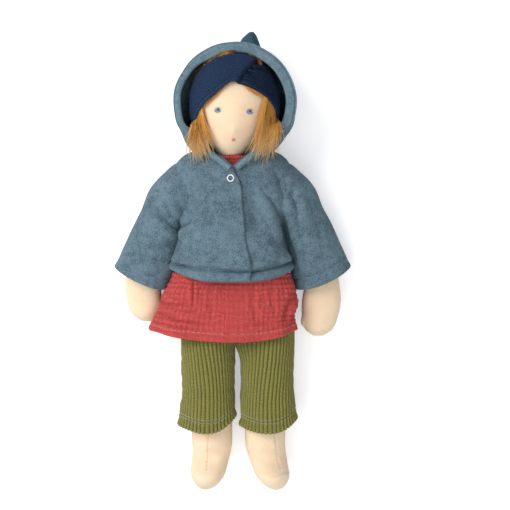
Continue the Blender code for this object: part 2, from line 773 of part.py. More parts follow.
# Snap: an open ring over the upper front, its socket through it, and the stud in the lower front
snap_y = JACKET_TOP_Y - SNAP_DOWN
snap_x = front_edge(snap_y) - SNAP_EDGE_INSET
snap_angle = angle_at(snap_x, snap_y, LAP_OUT)
snap_top = body_point(snap_y, snap_angle, LAP_OUT).z
snap_high = body_point(snap_y + SNAP_RADIUS, snap_angle, LAP_OUT).z


def upright(name, radius, low, high, material=None, sides=LIMB_SIDES):
    """A short round post that stands on the chest at the snap."""
    return solid(
        name,
        [ring((snap_x, snap_y, z), (radius, 0, 0), (0, radius, 0), sides=sides) for z in (low, high)],
        material,
    )


snap_base = snap_high + GAP
snap_ring = upright("snap_cap_ring", SNAP_RADIUS, snap_base, snap_base + SNAP_RING_HEIGHT, SNAP_WHITE, SIDES)
boolean(
    snap_ring,
    upright("snap_ring_cutter", SNAP_HOLE_RADIUS, snap_base - CUT_OVERRUN, snap_base + CUT_OVERRUN),
)
post_low = snap_top - FLEECE
upright("snap_socket", SNAP_POST_RADIUS, post_low, snap_top, SNAP_WHITE)
stud_top = post_low - GAP
upright("snap_stud", SNAP_POST_RADIUS, stud_top - SNAP_STUD_HEIGHT, stud_top, SNAP_WHITE)
snap_hole = upright(
    "snap_hole_cutter", SNAP_POST_RADIUS + GAP, post_low - CUT_OVERRUN, snap_top + CUT_OVERRUN
)
boolean(jacket_front_right, snap_hole)
boolean(jacket_front_left, snap_hole)


# Sleeves and arms, made for the doll's left side and mirrored for its right
def mirrored(point, side):
    return Vector((point.x * side, point.y, point.z))


# Inner edge out and down, outer edge out and down, middle height and half depth, as shares.
SLEEVE_SHARES = (
    (0.077, 0.362, 0.262, -0.229, 0.58, 0.49),
    (0.092, 0.459, 0.443, -0.085, 0.54, 0.49),
    (0.122, 0.604, 0.608, 0.181, 0.47, 0.47),
    (0.180, 0.785, 0.797, 0.483, 0.40, 0.44),
    (0.287, 1.000, 1.000, 0.785, 0.36, 0.40),
)


def sleeve_rings(off):
    """Rings of a sleeve from the armhole to the cuff, drawn in by an offset."""
    rows = []
    for out in (0.0, ARMHOLE_INSET + GAP):
        rows.append((out, ARMHOLE_RADIUS, out, -ARMHOLE_RADIUS, SHOULDER_Z, ARMHOLE_RADIUS))
    for in_out, in_down, out_out, out_down, middle, half in SLEEVE_SHARES:
        rows.append((
            in_out * SLEEVE_SPAN, in_down * SLEEVE_DROP, out_out * SLEEVE_SPAN,
            out_down * SLEEVE_DROP, middle * SLEEVE_DEPTH, half * SLEEVE_DEPTH,
        ))
    rings = []
    for in_out, in_down, out_out, out_down, middle_z, half_z in rows[:1] + smooth_rows(rows[1:], 2):
        inner = Vector((ARMHOLE_X + in_out, SHOULDER_Y - in_down, middle_z))
        outer = Vector((ARMHOLE_X + out_out, SHOULDER_Y - out_down, middle_z))
        half = (outer - inner) / 2
        across = half.normalized() * (half.length - off)
        up = Vector((0, 0, half_z - off))
        rings.append(ring((inner + outer) / 2, across, up, LIMB_SQUARENESS, off, SIDES))
    return rings


# Inner edge out and down, outer edge out and down, half depth, height of the middle, as shares.
ARM_SHARES = (
    (0.120, 0.110, 0.158, -0.110, 1.00, 1.00),
    (0.220, 0.156, 0.463, -0.060, 1.00, 0.90),
    (0.285, 0.237, 0.692, 0.060, 1.00, 0.75),
    (0.361, 0.382, 0.921, 0.285, 0.98, 0.50),
    (0.540, 0.510, 1.130, 0.446, 0.95, 0.25),
    (0.705, 0.606, 1.260, 0.580, 0.86, 0.08),
    (0.620, 0.760, 1.290, 0.735, 0.84, 0.00),
    (0.610, 0.870, 1.190, 0.860, 0.80, 0.00),
    (0.690, 0.955, 1.060, 0.955, 0.58, 0.00),
    (0.820, 0.998, 0.910, 1.000, 0.15, 0.00),
)


def arm_rings(reach, drop):
    """Rings of a stuffed arm from the side of the torso to the tip of the hand."""
    start_x = TORSO_HALF + GAP
    rings = [
        ring(
            (start_x, SHOULDER_Y, SHOULDER_Z), (0, ARM_WIDTH / 2, 0), (0, 0, ARM_DEPTH / 2),
            LIMB_SQUARENESS,
        )
    ]
    for in_out, in_down, out_out, out_down, half, rise in smooth_rows(ARM_SHARES, 2):
        middle_z = HAND_Z + rise * (SHOULDER_Z - HAND_Z)
        inner = Vector((start_x + in_out * reach, SHOULDER_Y - in_down * drop, middle_z))
        outer = Vector((start_x + out_out * reach, SHOULDER_Y - out_down * drop, middle_z))
        up = Vector((0, 0, half * ARM_DEPTH / 2))
        rings.append(ring((inner + outer) / 2, (outer - inner) / 2, up, LIMB_SQUARENESS, FLEECE + GAP))
    return rings


def ball(name, middle, half_axes, turn=0.0, steps=8, sides=12):
    """A closed egg with its long axis along Y, turned about the upright."""
    rings = []
    turned = Matrix.Rotation(turn, 3, "Z")
    for polar in span(POLE_ANGLE, math.pi - POLE_ANGLE, steps):
        place = Vector(middle) + turned @ Vector((0, math.cos(polar) * half_axes[1], 0))
        across = turned @ Vector((math.sin(polar) * half_axes[0], 0, 0))
        rings.append(ring(place, across, (0, 0, math.sin(polar) * half_axes[2]), sides=sides))
    return solid(name, rings)


# Share of the arm's span and drop at the thumb, and the thumb's turn
THUMB_SHARES = (0.62, 0.86)
THUMB_TURN = math.radians(24)


def armhole_cutter(name, side, radius, start_x):
    """A round bar along X that opens the side of a garment for the arm."""
    return solid(
        name,
        [
            ring(
                (side * x, SHOULDER_Y, SHOULDER_Z), (0, radius, 0), (0, 0, radius),
                sides=2 * SIDES,
            )
            for x in (start_x, start_x + CUT_OVERRUN)
        ],
    )


for side, name, reach, drop in (
    (1, "left", ARM_SPAN_LEFT, ARM_DROP_LEFT),
    (-1, "right", ARM_SPAN_RIGHT, ARM_DROP_RIGHT),
):
    outer = [[mirrored(point, side) for point in points] for points in sleeve_rings(0.0)]
    inner = [[mirrored(point, side) for point in points] for points in sleeve_rings(FLEECE)]
    shell(f"{name}_sleeve", outer, inner, FLEECE_BLUE)
    rings = [[mirrored(point, side) for point in points] for points in arm_rings(reach, drop)]
    arm = solid(f"{name}_arm", rings, JERSEY_SKIN)
    thumb_place = (
        side * (TORSO_HALF + THUMB_SHARES[0] * reach),
        SHOULDER_Y - THUMB_SHARES[1] * drop,
        HAND_Z,
    )
    thumb_half = (THUMB_RADIUS, THUMB_LENGTH / 2, THUMB_RADIUS)
    boolean(arm, ball(f"{name}_thumb_form", thumb_place, thumb_half, side * -THUMB_TURN), "UNION")
    seam = armhole_cutter(
        f"{name}_armhole_cutter", side, ARMHOLE_RADIUS + ARMHOLE_EASE, ARMHOLE_X - GAP
    )
    boolean(jacket_back, seam)


# Tunic: the bodice over the torso, and the skirt over the hips with its folds
TUNIC_TOP_Y = NECK_Y + TUNIC_COLLAR
bodice_heights = heights_between(BODICE_END_Y, TUNIC_TOP_Y)
tunic_bodice = shell(
    "tunic_bodice",
    [body_ring(y, TUNIC_OUT, flare_at(y)) for y in bodice_heights],
    [body_ring(y, TUNIC_IN, flare_at(y)) for y in bodice_heights],
    GAUZE_RED,
)
for side in (1, -1):
    arm_way = armhole_cutter(f"arm_way_{side}", side, ARM_WIDTH / 2 + ARM_WAY, TORSO_HALF - ARM_WAY)
    boolean(tunic_bodice, arm_way)
    boolean(jacket_back, arm_way)


def skirt_share(y):
    return (SKIRT_TOP_Y - y) / SKIRT_LENGTH


def skirt_fold(y, angle):
    """Folds that deepen to the hem."""
    return SKIRT_FOLD * skirt_share(y) * (1 + math.sin(SKIRT_FOLDS * angle))


def skirt_ring(y, off):
    """A row of the skirt: it hangs lower in front than at the sides."""
    share = skirt_share(y)
    sunk = (FLEECE - GAP) * smoothstep(share, 0.0, 0.4)
    points = []
    for angle in RING_ANGLES:
        risen = y + SKIRT_RISE * share * share * math.cos(angle) ** 2
        fold = skirt_fold(risen, angle)
        points.append(body_point(risen, angle, off, flare_at(risen), fold, sunk))
    return points


skirt_heights = span(SKIRT_TOP_Y, SKIRT_TOP_Y - SKIRT_LENGTH, 5)
tunic_skirt = shell(
    "tunic_skirt",
    [skirt_ring(y, TUNIC_OUT) for y in skirt_heights],
    [skirt_ring(y, TUNIC_IN) for y in skirt_heights],
    GAUZE_RED,
)

# Trouser seat and the elastic at its waist
seat_heights = heights_between(TORSO_END_Y + GAP, TORSO_END_Y + SEAT_LENGTH)
shell(
    "trouser_seat",
    [body_ring(y, SEAT_OUT) for y in seat_heights],
    [body_ring(y, GAP) for y in seat_heights],
    KNIT_OLIVE,
)
waist_y = seat_heights[-1] + GAP
elastic_heights = (waist_y + ELASTIC_WIDTH, waist_y)
shell(
    "waist_elastic",
    [body_ring(y, GAP + ELASTIC_THICKNESS) for y in elastic_heights],
    [body_ring(y, GAP) for y in elastic_heights],
    ELASTIC_WHITE,
)

# Legs: down the leg from the hip's pivot, half width, lowest and highest point as shares, and
# how far the leg lies inward and the toe outward, for the stretch below the ball of the hip.
LEG_SHARES = (
    (0.00, 1.00, -1.000, 1.000, 0.0, 0.0),
    (0.30, 0.94, -0.960, 0.900, 0.3, 0.0),
    (0.62, 0.88, -0.960, 0.720, 1.0, 0.0),
    (0.73, 0.85, -0.960, 0.560, 1.0, 0.0),
    (0.82, 0.80, -0.980, 0.800, 1.0, 0.3),
    (0.90, 0.70, -0.960, 1.080, 1.0, 0.65),
    (0.955, 0.56, -0.900, 1.120, 1.0, 0.85),
    (0.985, 0.36, -0.700, 0.900, 1.0, 0.95),
    (1.00, 0.12, -0.200, 0.300, 1.0, 1.0),
)
LEG_FINE = smooth_rows(LEG_SHARES, 2)
TROUSER_WIDE_SHARE = 0.98
TROUSER_HIGH_SHARE = 0.85
HEEL_FLOOR = GAUZE + 2 * GAP + KNIT + TROUSER_EASE


def hip_rings(radius, start, middle_x):
    """The upper half of the ball at the hip, from near its pole."""
    return [
        ring(
            (middle_x, HIP_Y + radius * math.cos(polar), HIP_Z),
            (radius * math.sin(polar), 0, 0),
            (0, 0, radius * math.sin(polar)),
            floor=0.0, sides=SIDES,
        )
        for polar in span(start, math.pi / 2, 5)[:-1]
    ]


def leg_section(row, side, name, off, flare=0.0):
    """A section of the leg, or of the trouser leg at an offset round it."""
    down, wide, low, high, inward, outward = row
    lean = outward * TOE_OUT[name] - inward * LEG_IN[name]
    middle = Vector((
        PELVIS_SHIFT + side * (HIP_SPACING / 2 + lean),
        HIP_Y - down * LEG_LENGTH,
        HIP_Z + (low + high) / 2 * THIGH_RADIUS,
    ))
    half_up = (high - low) / 2 * THIGH_RADIUS + off + flare
    across = (wide * THIGH_RADIUS + off + flare, 0, 0)
    return ring(middle, across, (0, 0, half_up), LIMB_SQUARENESS, HEEL_FLOOR - off, SIDES)


def trouser_rings(side, name, off):
    """The trouser leg: half a ball at the hip, then down to the hem, where it flares a little."""
    middle_x = PELVIS_SHIFT + side * HIP_SPACING / 2
    rings = hip_rings(THIGH_RADIUS + off, math.asin(HIP_HOLE_RADIUS / THIGH_RADIUS), middle_x)
    places = [row[0] for row in LEG_FINE]
    for share in span(0.0, 1.0, 6):
        down = share * TROUSER_LENGTH / LEG_LENGTH
        row = [float(np.interp(down, places, column)) for column in zip(*LEG_FINE)]
        row[1] = max(row[1], TROUSER_WIDE_SHARE)
        row[3] = max(row[3], TROUSER_HIGH_SHARE)
        row[4] = 0.0
        flare = HEM_FLARE * smoothstep(share, 0.4, 1.0)
        rings.append(leg_section(row, side, name, off, flare))
    return rings


for side, name in ((1, "left"), (-1, "right")):
    middle_x = PELVIS_SHIFT + side * HIP_SPACING / 2
    rings = hip_rings(THIGH_RADIUS, POLE_ANGLE, middle_x)
    rings += [leg_section(row, side, name, 0.0) for row in LEG_FINE]
    solid(f"{name}_leg", rings, JERSEY_SKIN)
    shell(
        f"{name}_trouser_leg",
        trouser_rings(side, name, TROUSER_EASE + KNIT),
        trouser_rings(side, name, TROUSER_EASE),
        KNIT_OLIVE,
    )

# Tuft of hair at the crown, between the headband and the hood
tuft = ball(
    "hair_top",
    HEAD_MIDDLE + Vector((0, HEAD_HEIGHT / 2 + HAIR_IN, TUFT_RISE)),
    (TUFT_WIDTH / 2, TUFT_LENGTH, TUFT_LENGTH),
)
tuft.data.materials.append(MOHAIR)
boolean(tuft, solid("hair_top_head_cutter", head_rings(HAIR_IN)))
boolean(tuft, tilted_slab("hair_top_band_cutter", -2 * HEAD_HEIGHT, BAND_WIDTH + GAP))


# Each moving piece turns about its own origin
SLEEVE_PIVOT = Vector((ARMHOLE_X, SHOULDER_Y, SHOULDER_Z))
HIP_PIVOT = Vector((HIP_SPACING / 2, HIP_Y, HIP_Z))
HOOD_PIVOT = Vector((0, JACKET_TOP_Y + GAP / 2, FLEECE + HOOD_NAPE_Z))
FLAP_PIVOT = body_point(JACKET_HEM_Y, math.pi - FLAP_ANGLE, JACKET_OUT, flare_at(JACKET_HEM_Y))


def turn_about(place, *names):
    """Puts the origin of the named objects at a place, without moving their shape."""
    for name in names:
        obj = bpy.data.objects[name]
        obj.data.transform(Matrix.Translation(-place))
        obj.location = place


turn_about(NECK_PIVOT, "neck_core", "neck_string", "head", "wig_cap", "headband")
turn_about(NECK_PIVOT, "eye_left", "eye_right", "mouth", "hair_left", "hair_right", "hair_top")
turn_about(HOOD_PIVOT, "hood", "hood_brim")
turn_about(FLAP_PIVOT, "jacket_front_right", "snap_cap_ring", "snap_socket")
for side, name in ((1, "left"), (-1, "right")):
    turn_about(mirrored(SLEEVE_PIVOT, side), f"{name}_arm", f"{name}_sleeve")
    hip_place = mirrored(HIP_PIVOT, side) + Vector((PELVIS_SHIFT, 0, 0))
    turn_about(hip_place, f"{name}_leg", f"{name}_trouser_leg")
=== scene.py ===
# %% [markdown]
# # A stuffed cloth doll, lying on its back
#
# The script reads the doll's working model, which says where each piece is and how it
# moves. It then sews the visible doll over it: jersey skin filled with wool, knitted and
# woven clothes, a felted hood and mohair hair. All lengths are in metres. The doll's
# head points along +Y, its front along +Z, and its own left side is at +X.

# %% Load the working model
import math

import bmesh
import bpy
import numpy as np
from mathutils import Matrix, Vector


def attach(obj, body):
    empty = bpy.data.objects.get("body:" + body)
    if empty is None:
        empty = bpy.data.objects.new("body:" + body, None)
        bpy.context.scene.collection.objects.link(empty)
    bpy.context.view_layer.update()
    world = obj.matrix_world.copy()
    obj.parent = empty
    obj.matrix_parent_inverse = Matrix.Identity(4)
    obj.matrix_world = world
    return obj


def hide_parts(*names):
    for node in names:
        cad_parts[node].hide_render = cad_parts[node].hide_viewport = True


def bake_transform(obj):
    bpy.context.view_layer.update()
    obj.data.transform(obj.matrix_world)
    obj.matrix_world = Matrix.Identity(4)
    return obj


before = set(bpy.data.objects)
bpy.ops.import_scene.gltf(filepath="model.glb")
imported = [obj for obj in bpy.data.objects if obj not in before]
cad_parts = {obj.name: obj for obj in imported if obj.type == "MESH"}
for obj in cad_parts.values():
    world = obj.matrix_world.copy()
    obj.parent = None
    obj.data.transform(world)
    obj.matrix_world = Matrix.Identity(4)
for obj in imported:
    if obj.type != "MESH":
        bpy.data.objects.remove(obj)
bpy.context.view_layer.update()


# %% [markdown]
# ## The sizes of the doll
#
# The stuffed body is described by a table of sections from the neck down. Each garment
# lies on the one below it, so each one is the same section grown by the cloth beneath.

# %% Sizes that all the pieces share
FLEECE = 0.0024  # thickness of the jacket's cloth
GAUZE = 0.0009  # of the tunic's
KNIT = 0.0016  # of the trousers'

NECK_Y = 0.0845
TORSO_LENGTH = 0.124
TORSO_HALF = 0.0385
CHEST_DEPTH = 0.053
PELVIS_SHIFT = 0.0043
BACK_FLOOR = 0.0058
SQUARENESS = 2.6
# Share of the way down, half width, lowest, highest, sideways shift
BODY_SHARES = (
    (0.000, 0.40, 0.500, 1.050, 0.0),
    (0.024, 0.56, 0.330, 1.050, 0.0),
    (0.050, 0.72, 0.220, 1.040, 0.0),
    (0.085, 0.88, 0.120, 1.025, 0.0),
    (0.140, 0.97, 0.050, 1.010, 0.0),
    (0.220, 1.00, 0.020, 1.000, 0.0),
    (0.400, 1.00, 0.000, 1.000, 0.0),
    (0.606, 0.96, 0.000, 1.000, 0.2),
    (0.805, 0.97, 0.000, 0.990, 0.7),
    (1.000, 1.02, 0.040, 0.950, 1.0),
    (1.124, 1.28, 0.040, 0.970, 1.0),
    (1.323, 1.36, 0.040, 0.950, 1.0),
)

HEAD = Vector((0.0020, 0.1330, 0.0440))
HEAD_WIDTH = 0.071
HEAD_HEIGHT = 0.089
HEAD_DEPTH = 0.074
SHOULDER = Vector((0.0423, 0.0595, 0.028))
HIP = Vector((0.02575, -0.0623, 0.0245))
SIDES = ((1, "left"), (-1, "right"))  # the doll's own left is at +X


def curve(places, values, at):
    """A smooth line through known values, read at new places."""
    places, values = np.asarray(places, float), np.asarray(values, float)
    at = np.clip(at, places[0], places[-1])
    index = np.clip(np.searchsorted(places, at, side="right") - 1, 0, len(places) - 2)
    slope = np.gradient(values, places)
    wide = places[index + 1] - places[index]
    t = (at - places[index]) / wide
    start, end = values[index], values[index + 1]
    rise, fall = slope[index] * wide, slope[index + 1] * wide
    lift = t * t * (3 - 2 * t)
    return start + (end - start) * lift + t * (1 - t) * ((1 - t) * rise - t * fall)


def columns_at(table, at, places=None):
    """Each column of a table, read at new places along its first column or along places given apart."""
    columns = list(np.asarray(table, float).T)
    places = columns.pop(0) if places is None else places
    return [curve(places, column, at) for column in columns]


def round_grid(along, count):
    """Two grids for a tube: the places along it, and count angles round it."""
    return np.meshgrid(along, np.linspace(0, 2 * math.pi, count, endpoint=False), indexing="ij")


def ease(value, start, end):
    """0 up to start, 1 from end on, and a soft change between them."""
    share = np.clip((value - start) / (end - start), 0.0, 1.0)
    return share * share * (3 - 2 * share)


def hill(value, wide):
    """1 at 0, falling softly to almost 0 at twice the width on both sides."""
    return np.exp(-((value / wide) ** 2))


def bent(value, squareness):
    """A sine or cosine made squarer, so that a round section becomes a rounded box."""
    return np.sign(value) * np.abs(value) ** (2 / squareness)


def body(y, angle, out, flare=(0.0, 0.0), squareness=SQUARENESS):
    """Points on the body's section, grown by out; the angle runs from its left over the front."""
    down = (NECK_Y - y) / TORSO_LENGTH
    half, low, high, shift = columns_at(BODY_SHARES, down)
    across, up = bent(np.cos(angle), squareness), bent(np.sin(angle), squareness)
    side = np.where(across < 0, flare[0], flare[1])
    low, high = low * CHEST_DEPTH, high * CHEST_DEPTH
    x = shift * PELVIS_SHIFT + across * (half * TORSO_HALF + out + side)
    z = (low + high + BACK_FLOOR) / 2 + up * ((high - low - BACK_FLOOR) / 2 + out)
    return np.stack([x, y + 0 * x, np.maximum(z, BACK_FLOOR - out)], axis=-1)


# %% [markdown]
# ## Cloth from a grid of points
#
# Every garment starts as a grid of points that lies on the layer below it. The helper
# gives the grid the cloth's thickness and rounds its edges, so that no edge is a knife.
# It also marks each point with its place along the cloth in metres, for ribs and weave.

# %% Helpers that turn grids of points into cloth and stuffed pieces
TABLE_GAP = 0.0001  # lowest place of any cloth
PRESSED = 0.0008  # least thickness of cloth that lies on the table


def normals_of(points, closed):
    """The direction that faces away from the body at each point of a grid."""
    if closed:
        along = np.roll(points, -1, 1) - np.roll(points, 1, 1)
    else:
        along = np.gradient(points, axis=1)
    down = np.gradient(points, axis=0)
    normal = np.cross(along, down)
    return normal / np.maximum(np.linalg.norm(normal, axis=-1, keepdims=True), 1e-12)


def lengths_of(points, closed):
    """Metres along the cloth at each column and at each row."""
    columns = np.concatenate([points, points[:, :1]], axis=1) if closed else points
    across = np.linalg.norm(np.diff(columns, axis=1), axis=-1).mean(axis=0)
    down = np.linalg.norm(np.diff(points, axis=0), axis=-1).mean(axis=1)
    return np.concatenate([[0], np.cumsum(across)]), np.concatenate([[0], np.cumsum(down)])


def grid_faces(rows, columns, closed, start=0):
    """Corners of the quads between neighbouring rows and columns, and their column numbers."""
    count = columns if closed else columns - 1
    row, column = np.meshgrid(np.arange(rows - 1), np.arange(count), indexing="ij")
    row, column = row.ravel(), column.ravel()
    after = (column + 1) % columns
    corners = np.stack([row * columns + column, (row + 1) * columns + column,
                        (row + 1) * columns + after, row * columns + after], axis=1)
    places = np.stack([np.stack([column, column, column + 1, column + 1], 1),
                       np.stack([row, row + 1, row + 1, row], 1)], axis=-1)
    return corners + start, places


def link(name, mesh):
    obj = bpy.data.objects.new(name, mesh)
    bpy.context.scene.collection.objects.link(obj)
    return obj


def surface(name, points, faces, uvs, material=None, weld=0.0, painted_shade=None):
    """An object from points and faces, smoothly shaded, with its places along the cloth."""
    mesh = bpy.data.meshes.new(name)
    mesh.from_pydata(points.tolist(), [], faces.tolist())
    # An attribute with the share of painted shade at each point, for the material to darken
    if painted_shade is not None:
        mesh.attributes.new("painted_shade", "FLOAT", "POINT").data.foreach_set("value", painted_shade.astype(np.float32))
    layer = mesh.uv_layers.new(name="cloth")
    layer.data.foreach_set("uv", uvs.reshape(-1).astype(np.float32))
    if weld:
        work = bmesh.new()
        work.from_mesh(mesh)
        bmesh.ops.remove_doubles(work, verts=work.verts, dist=weld)
        bmesh.ops.recalc_face_normals(work, faces=work.faces)
        work.to_mesh(mesh)
        work.free()
    mesh.shade_smooth()
    if material:
        mesh.materials.append(material)
    return link(name, mesh)


def cloth(name, base, thick, closed=True, material=None, painted_shade=0.0):
    """Cloth of a given thickness on a grid; the last argument is the share of painted shade at each point, 1 deep
    between ribs.
    """
    rows, columns = base.shape[:2]
    thick = np.broadcast_to(np.asarray(thick, float), (rows, columns)).copy()
    normal = normals_of(base, closed)
    across, down = lengths_of(base, closed)
    half = thick / 2
    edge = np.minimum(down, down[-1] - down)[:, None] + np.zeros((rows, columns))
    if not closed:
        edge = np.minimum(edge, np.minimum(across, across[-1] - across)[None, :])
    round_in = np.clip(edge, 0, half)
    reach = np.sqrt(np.maximum(half**2 - (half - round_in) ** 2, 0.0))
    middle = base + normal * half[..., None]
    outer = (middle + normal * reach[..., None]).reshape(-1, 3)
    inner = (middle - normal * reach[..., None]).reshape(-1, 3)
    # What lies on the table is pressed flat on it
    outer[:, 2] = np.maximum(outer[:, 2], TABLE_GAP)
    inner[:, 2] = np.maximum(inner[:, 2], TABLE_GAP + PRESSED * (reach / half).ravel())
    faces, places = grid_faces(rows, columns, closed)
    uvs = np.stack([across[places[..., 0]], down[places[..., 1]]], axis=-1)
    both = np.concatenate([faces, faces[:, ::-1] + rows * columns])
    painted_shade = np.broadcast_to(painted_shade, (rows, columns)).ravel()
    return surface(name, np.concatenate([outer, inner]), both, np.concatenate([uvs, uvs[:, ::-1]]),
                   material, weld=1e-6, painted_shade=np.concatenate([painted_shade, painted_shade]))


def stuffed(name, rings, material=None):
    """A closed stuffed skin through rings of points, drawn together at both ends."""
    ends = [np.broadcast_to(ring.mean(axis=0), ring.shape)[None] for ring in (rings[0], rings[-1])]
    rings = np.concatenate([ends[0], rings, ends[1]])
    rows, columns = rings.shape[:2]
    across, down = lengths_of(rings, True)
    faces, places = grid_faces(rows, columns, True)
    uvs = np.stack([across[places[..., 0]], down[places[..., 1]]], axis=-1)
    return surface(name, rings.reshape(-1, 3), faces, uvs, material, weld=1e-6)


def edged(count, length, roll=0.0012, steps=4):
    """Shares from 0 to 1 with extra places close to both ends, where the edge is rounded."""
    corner = roll * (1 - np.cos(np.linspace(0, math.pi / 2, steps + 1))) / length
    return np.concatenate([corner, np.linspace(corner[-1], 1 - corner[-1], count)[1:-1], 1 - corner[::-1]])


def crease(points, path, wide, deep, front=True):
    """How deep each point lies in a fold that runs along a path of (x, y) places in mm."""
    path = np.asarray(path, float) / 1000
    flat = points[..., :2]
    best = np.full(flat.shape[:-1], 1e9)
    along = np.zeros(flat.shape[:-1])
    total = np.linalg.norm(np.diff(path, axis=0), axis=1).sum()
    passed = 0.0
    for start, end in zip(path, path[1:]):
        run = end - start
        length = np.linalg.norm(run)
        t = np.clip(((flat - start) @ run) / length**2, 0, 1)
        gap = np.linalg.norm(flat - start - t[..., None] * run, axis=-1)
        nearer = gap < best
        best = np.where(nearer, gap, best)
        along = np.where(nearer, (passed + t * length) / total, along)
        passed += length
    fade = np.sqrt(np.clip(np.sin(np.clip(along, 0.02, 0.98) * math.pi), 0, 1))
    shape = -hill(best, wide) + 0.45 * hill(best - 1.9 * wide, 1.1 * wide)
    side = ease(points[..., 2], 0.018, 0.030) if front else 1.0
    return deep * fade * shape * side


def creased(points, paths, start=0.0, share=1.0, front=True, deeper=1.0):
    """The dents of several creases, added to the dents that a piece has already."""
    dent = start
    for path, wide, deep in paths:
        dent = dent + crease(points, path, wide, deeper * deep, front) * share
    return dent


def ripple(places, seed, size, octaves=3):
    """Soft unevenness from a few waves in several directions, from -1 to 1."""
    chance = np.random.default_rng(seed)
    total = np.zeros(places.shape[:-1])
    for octave in range(octaves):
        for _ in range(5):
            direction = chance.normal(size=places.shape[-1])
            direction /= np.linalg.norm(direction)
            pace = 2 * math.pi / (size / 1.7**octave) * chance.uniform(0.7, 1.3)
            wave = np.sin(places @ direction * pace + chance.uniform(0, 6.28))
            total += wave / 1.7**octave
    return total / 6


def worn(piece, carrier, *nodes, slot=None):
    """Ties a piece to one body and hides the nodes it stands for; given two bodies, it is left where it is. The slot
    is not used.
    """
    if isinstance(carrier, str):
        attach(piece, carrier)
    else:
        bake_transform(piece)
    if nodes:
        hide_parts(*nodes)
    return piece


print("helpers ready")

# %% [markdown]
# ## Cloth colours and surfaces
#
# Each material mixes two or three close shades with noise, as dyed wool and cotton do.
# On the gauze and the knits some of these shades follow the bump, as painted light and
# shade, and the ribbed knits are painted darker deep between their ribs.
# The fine surface is bump: fleece has a felted pile, gauze a crinkled grid, jersey a
# knitted grain. Larger shapes such as ribs, seams and folds are real geometry.

# %% Materials
def feed(tree, socket, value):
    """Links a socket to another one, or sets its plain value."""
    if isinstance(value, bpy.types.NodeSocket):
        tree.links.new(value, socket)
    else:
        socket.default_value = value


def node(tree, kind, **inputs):
    """A shader node; an input is a value, or a socket of another node to link from."""
    made = tree.nodes.new(kind)
    for name, value in inputs.items():
        if hasattr(made, name):
            setattr(made, name, value)
            continue
        numbered = name[0] == "i" and name[1:].isdigit()
        feed(tree, made.inputs[int(name[1:]) if numbered else name.replace("_", " ")], value)
    return made


def rgb(red, green, blue):
    """A colour seen in the photo, 0 to 255, as the linear colour that a shader takes."""
    parts = [value / 255 for value in (red, green, blue)]
    return tuple(p / 12.92 if p <= 0.04045 else ((p + 0.055) / 1.055) ** 2.4 for p in parts) + (1.0,)


def blank(name, roughness=0.9, sheen=0.0, level=0.3):
    """A new material, its shader and its node tree."""
    material = bpy.data.materials.new(name)
    material.use_nodes = True
    tree = material.node_tree
    shader = tree.nodes["Principled BSDF"]
    shader.inputs["Roughness"].default_value = roughness
    shader.inputs["Sheen Weight"].default_value = sheen
    shader.inputs["Sheen Roughness"].default_value = 0.5
    shader.inputs["Specular IOR Level"].default_value = level
    return material, tree, shader


def place_on_cloth(tree, scale=(1.0, 1.0, 1.0)):
    """Metres along the cloth, scaled."""
    uv = node(tree, "ShaderNodeUVMap", uv_map="cloth")
    return node(tree, "ShaderNodeMapping", Vector=uv.outputs["UV"], Scale=scale).outputs["Vector"]


def place_in_space(tree, scale=(1.0, 1.0, 1.0)):
    space = node(tree, "ShaderNodeTexCoord")
    return node(tree, "ShaderNodeMapping", Vector=space.outputs["Object"], Scale=scale).outputs["Vector"]


def noise(tree, where, size, detail=3.0, rough=0.6):
    """Noise whose blotches are about size metres wide."""
    made = node(tree, "ShaderNodeTexNoise", Vector=where, Scale=1 / size, Detail=detail, Roughness=rough)
    return made.outputs["Fac"]


def between(tree, share, low, high):
    """A share stretched so that low becomes 0 and high becomes 1."""
    made = node(tree, "ShaderNodeMapRange", Value=share, From_Min=low, From_Max=high)
    return made.outputs["Result"]


def mixed(tree, share, first, second):
    """A colour between two colours or sockets."""
    made = node(tree, "ShaderNodeMix", data_type="RGBA")
    for number, value in ((0, share), (6, first), (7, second)):
        feed(tree, made.inputs[number], value)
    return made.outputs[2]


def math_of(tree, operation, first, second=0.0, third=0.0):
    made = node(tree, "ShaderNodeMath", operation=operation)
    for socket, value in zip(made.inputs, (first, second, third)):
        feed(tree, socket, value)
    return made.outputs[0]


def bump(tree, shader, layers):
    """Adds (height, distance in metres) layers to a shader's normal."""
    last = None
    for height, distance in layers:
        made = node(tree, "ShaderNodeBump", Height=height, Strength=1.0, Distance=distance)
        if last:
            tree.links.new(last.outputs["Normal"], made.inputs["Normal"])
        last = made
    tree.links.new(last.outputs["Normal"], shader.inputs["Normal"])


def felted(name, dark, middle, light, pile=0.0009):
    """Boiled wool: mottled, matt, with a short pile that catches the light at the edges."""
    material, tree, shader = blank(name, 0.95, 0.35, 0.15)
    space = place_in_space(tree)
    fine = noise(tree, space, 0.0010, 3.0, 0.6)
    tufts = noise(tree, space, 0.0052, 3.0, 0.55)
    broad = noise(tree, space, 0.0190, 3.0, 0.55)
    mottle = math_of(tree, "MULTIPLY_ADD", tufts, 0.55, math_of(tree, "MULTIPLY", broad, 0.45))
    shade = mixed(tree, between(tree, mottle, 0.40, 0.60), dark, middle)
    shade = mixed(tree, between(tree, fine, 0.40, 0.85), shade, light)
    tree.links.new(shade, shader.inputs["Base Color"])
    shader.inputs["Sheen Tint"].default_value = light
    bump(tree, shader, ((tufts, pile * 1.2), (fine, pile * 0.45)))
    return material


fleece_blue = felted("fleece_blue", rgb(66, 87, 99), rgb(94, 118, 130), rgb(132, 153, 163))
brim_blue = felted("brim_blue", rgb(82, 105, 118), rgb(104, 128, 140), rgb(136, 159, 169), 0.0006)
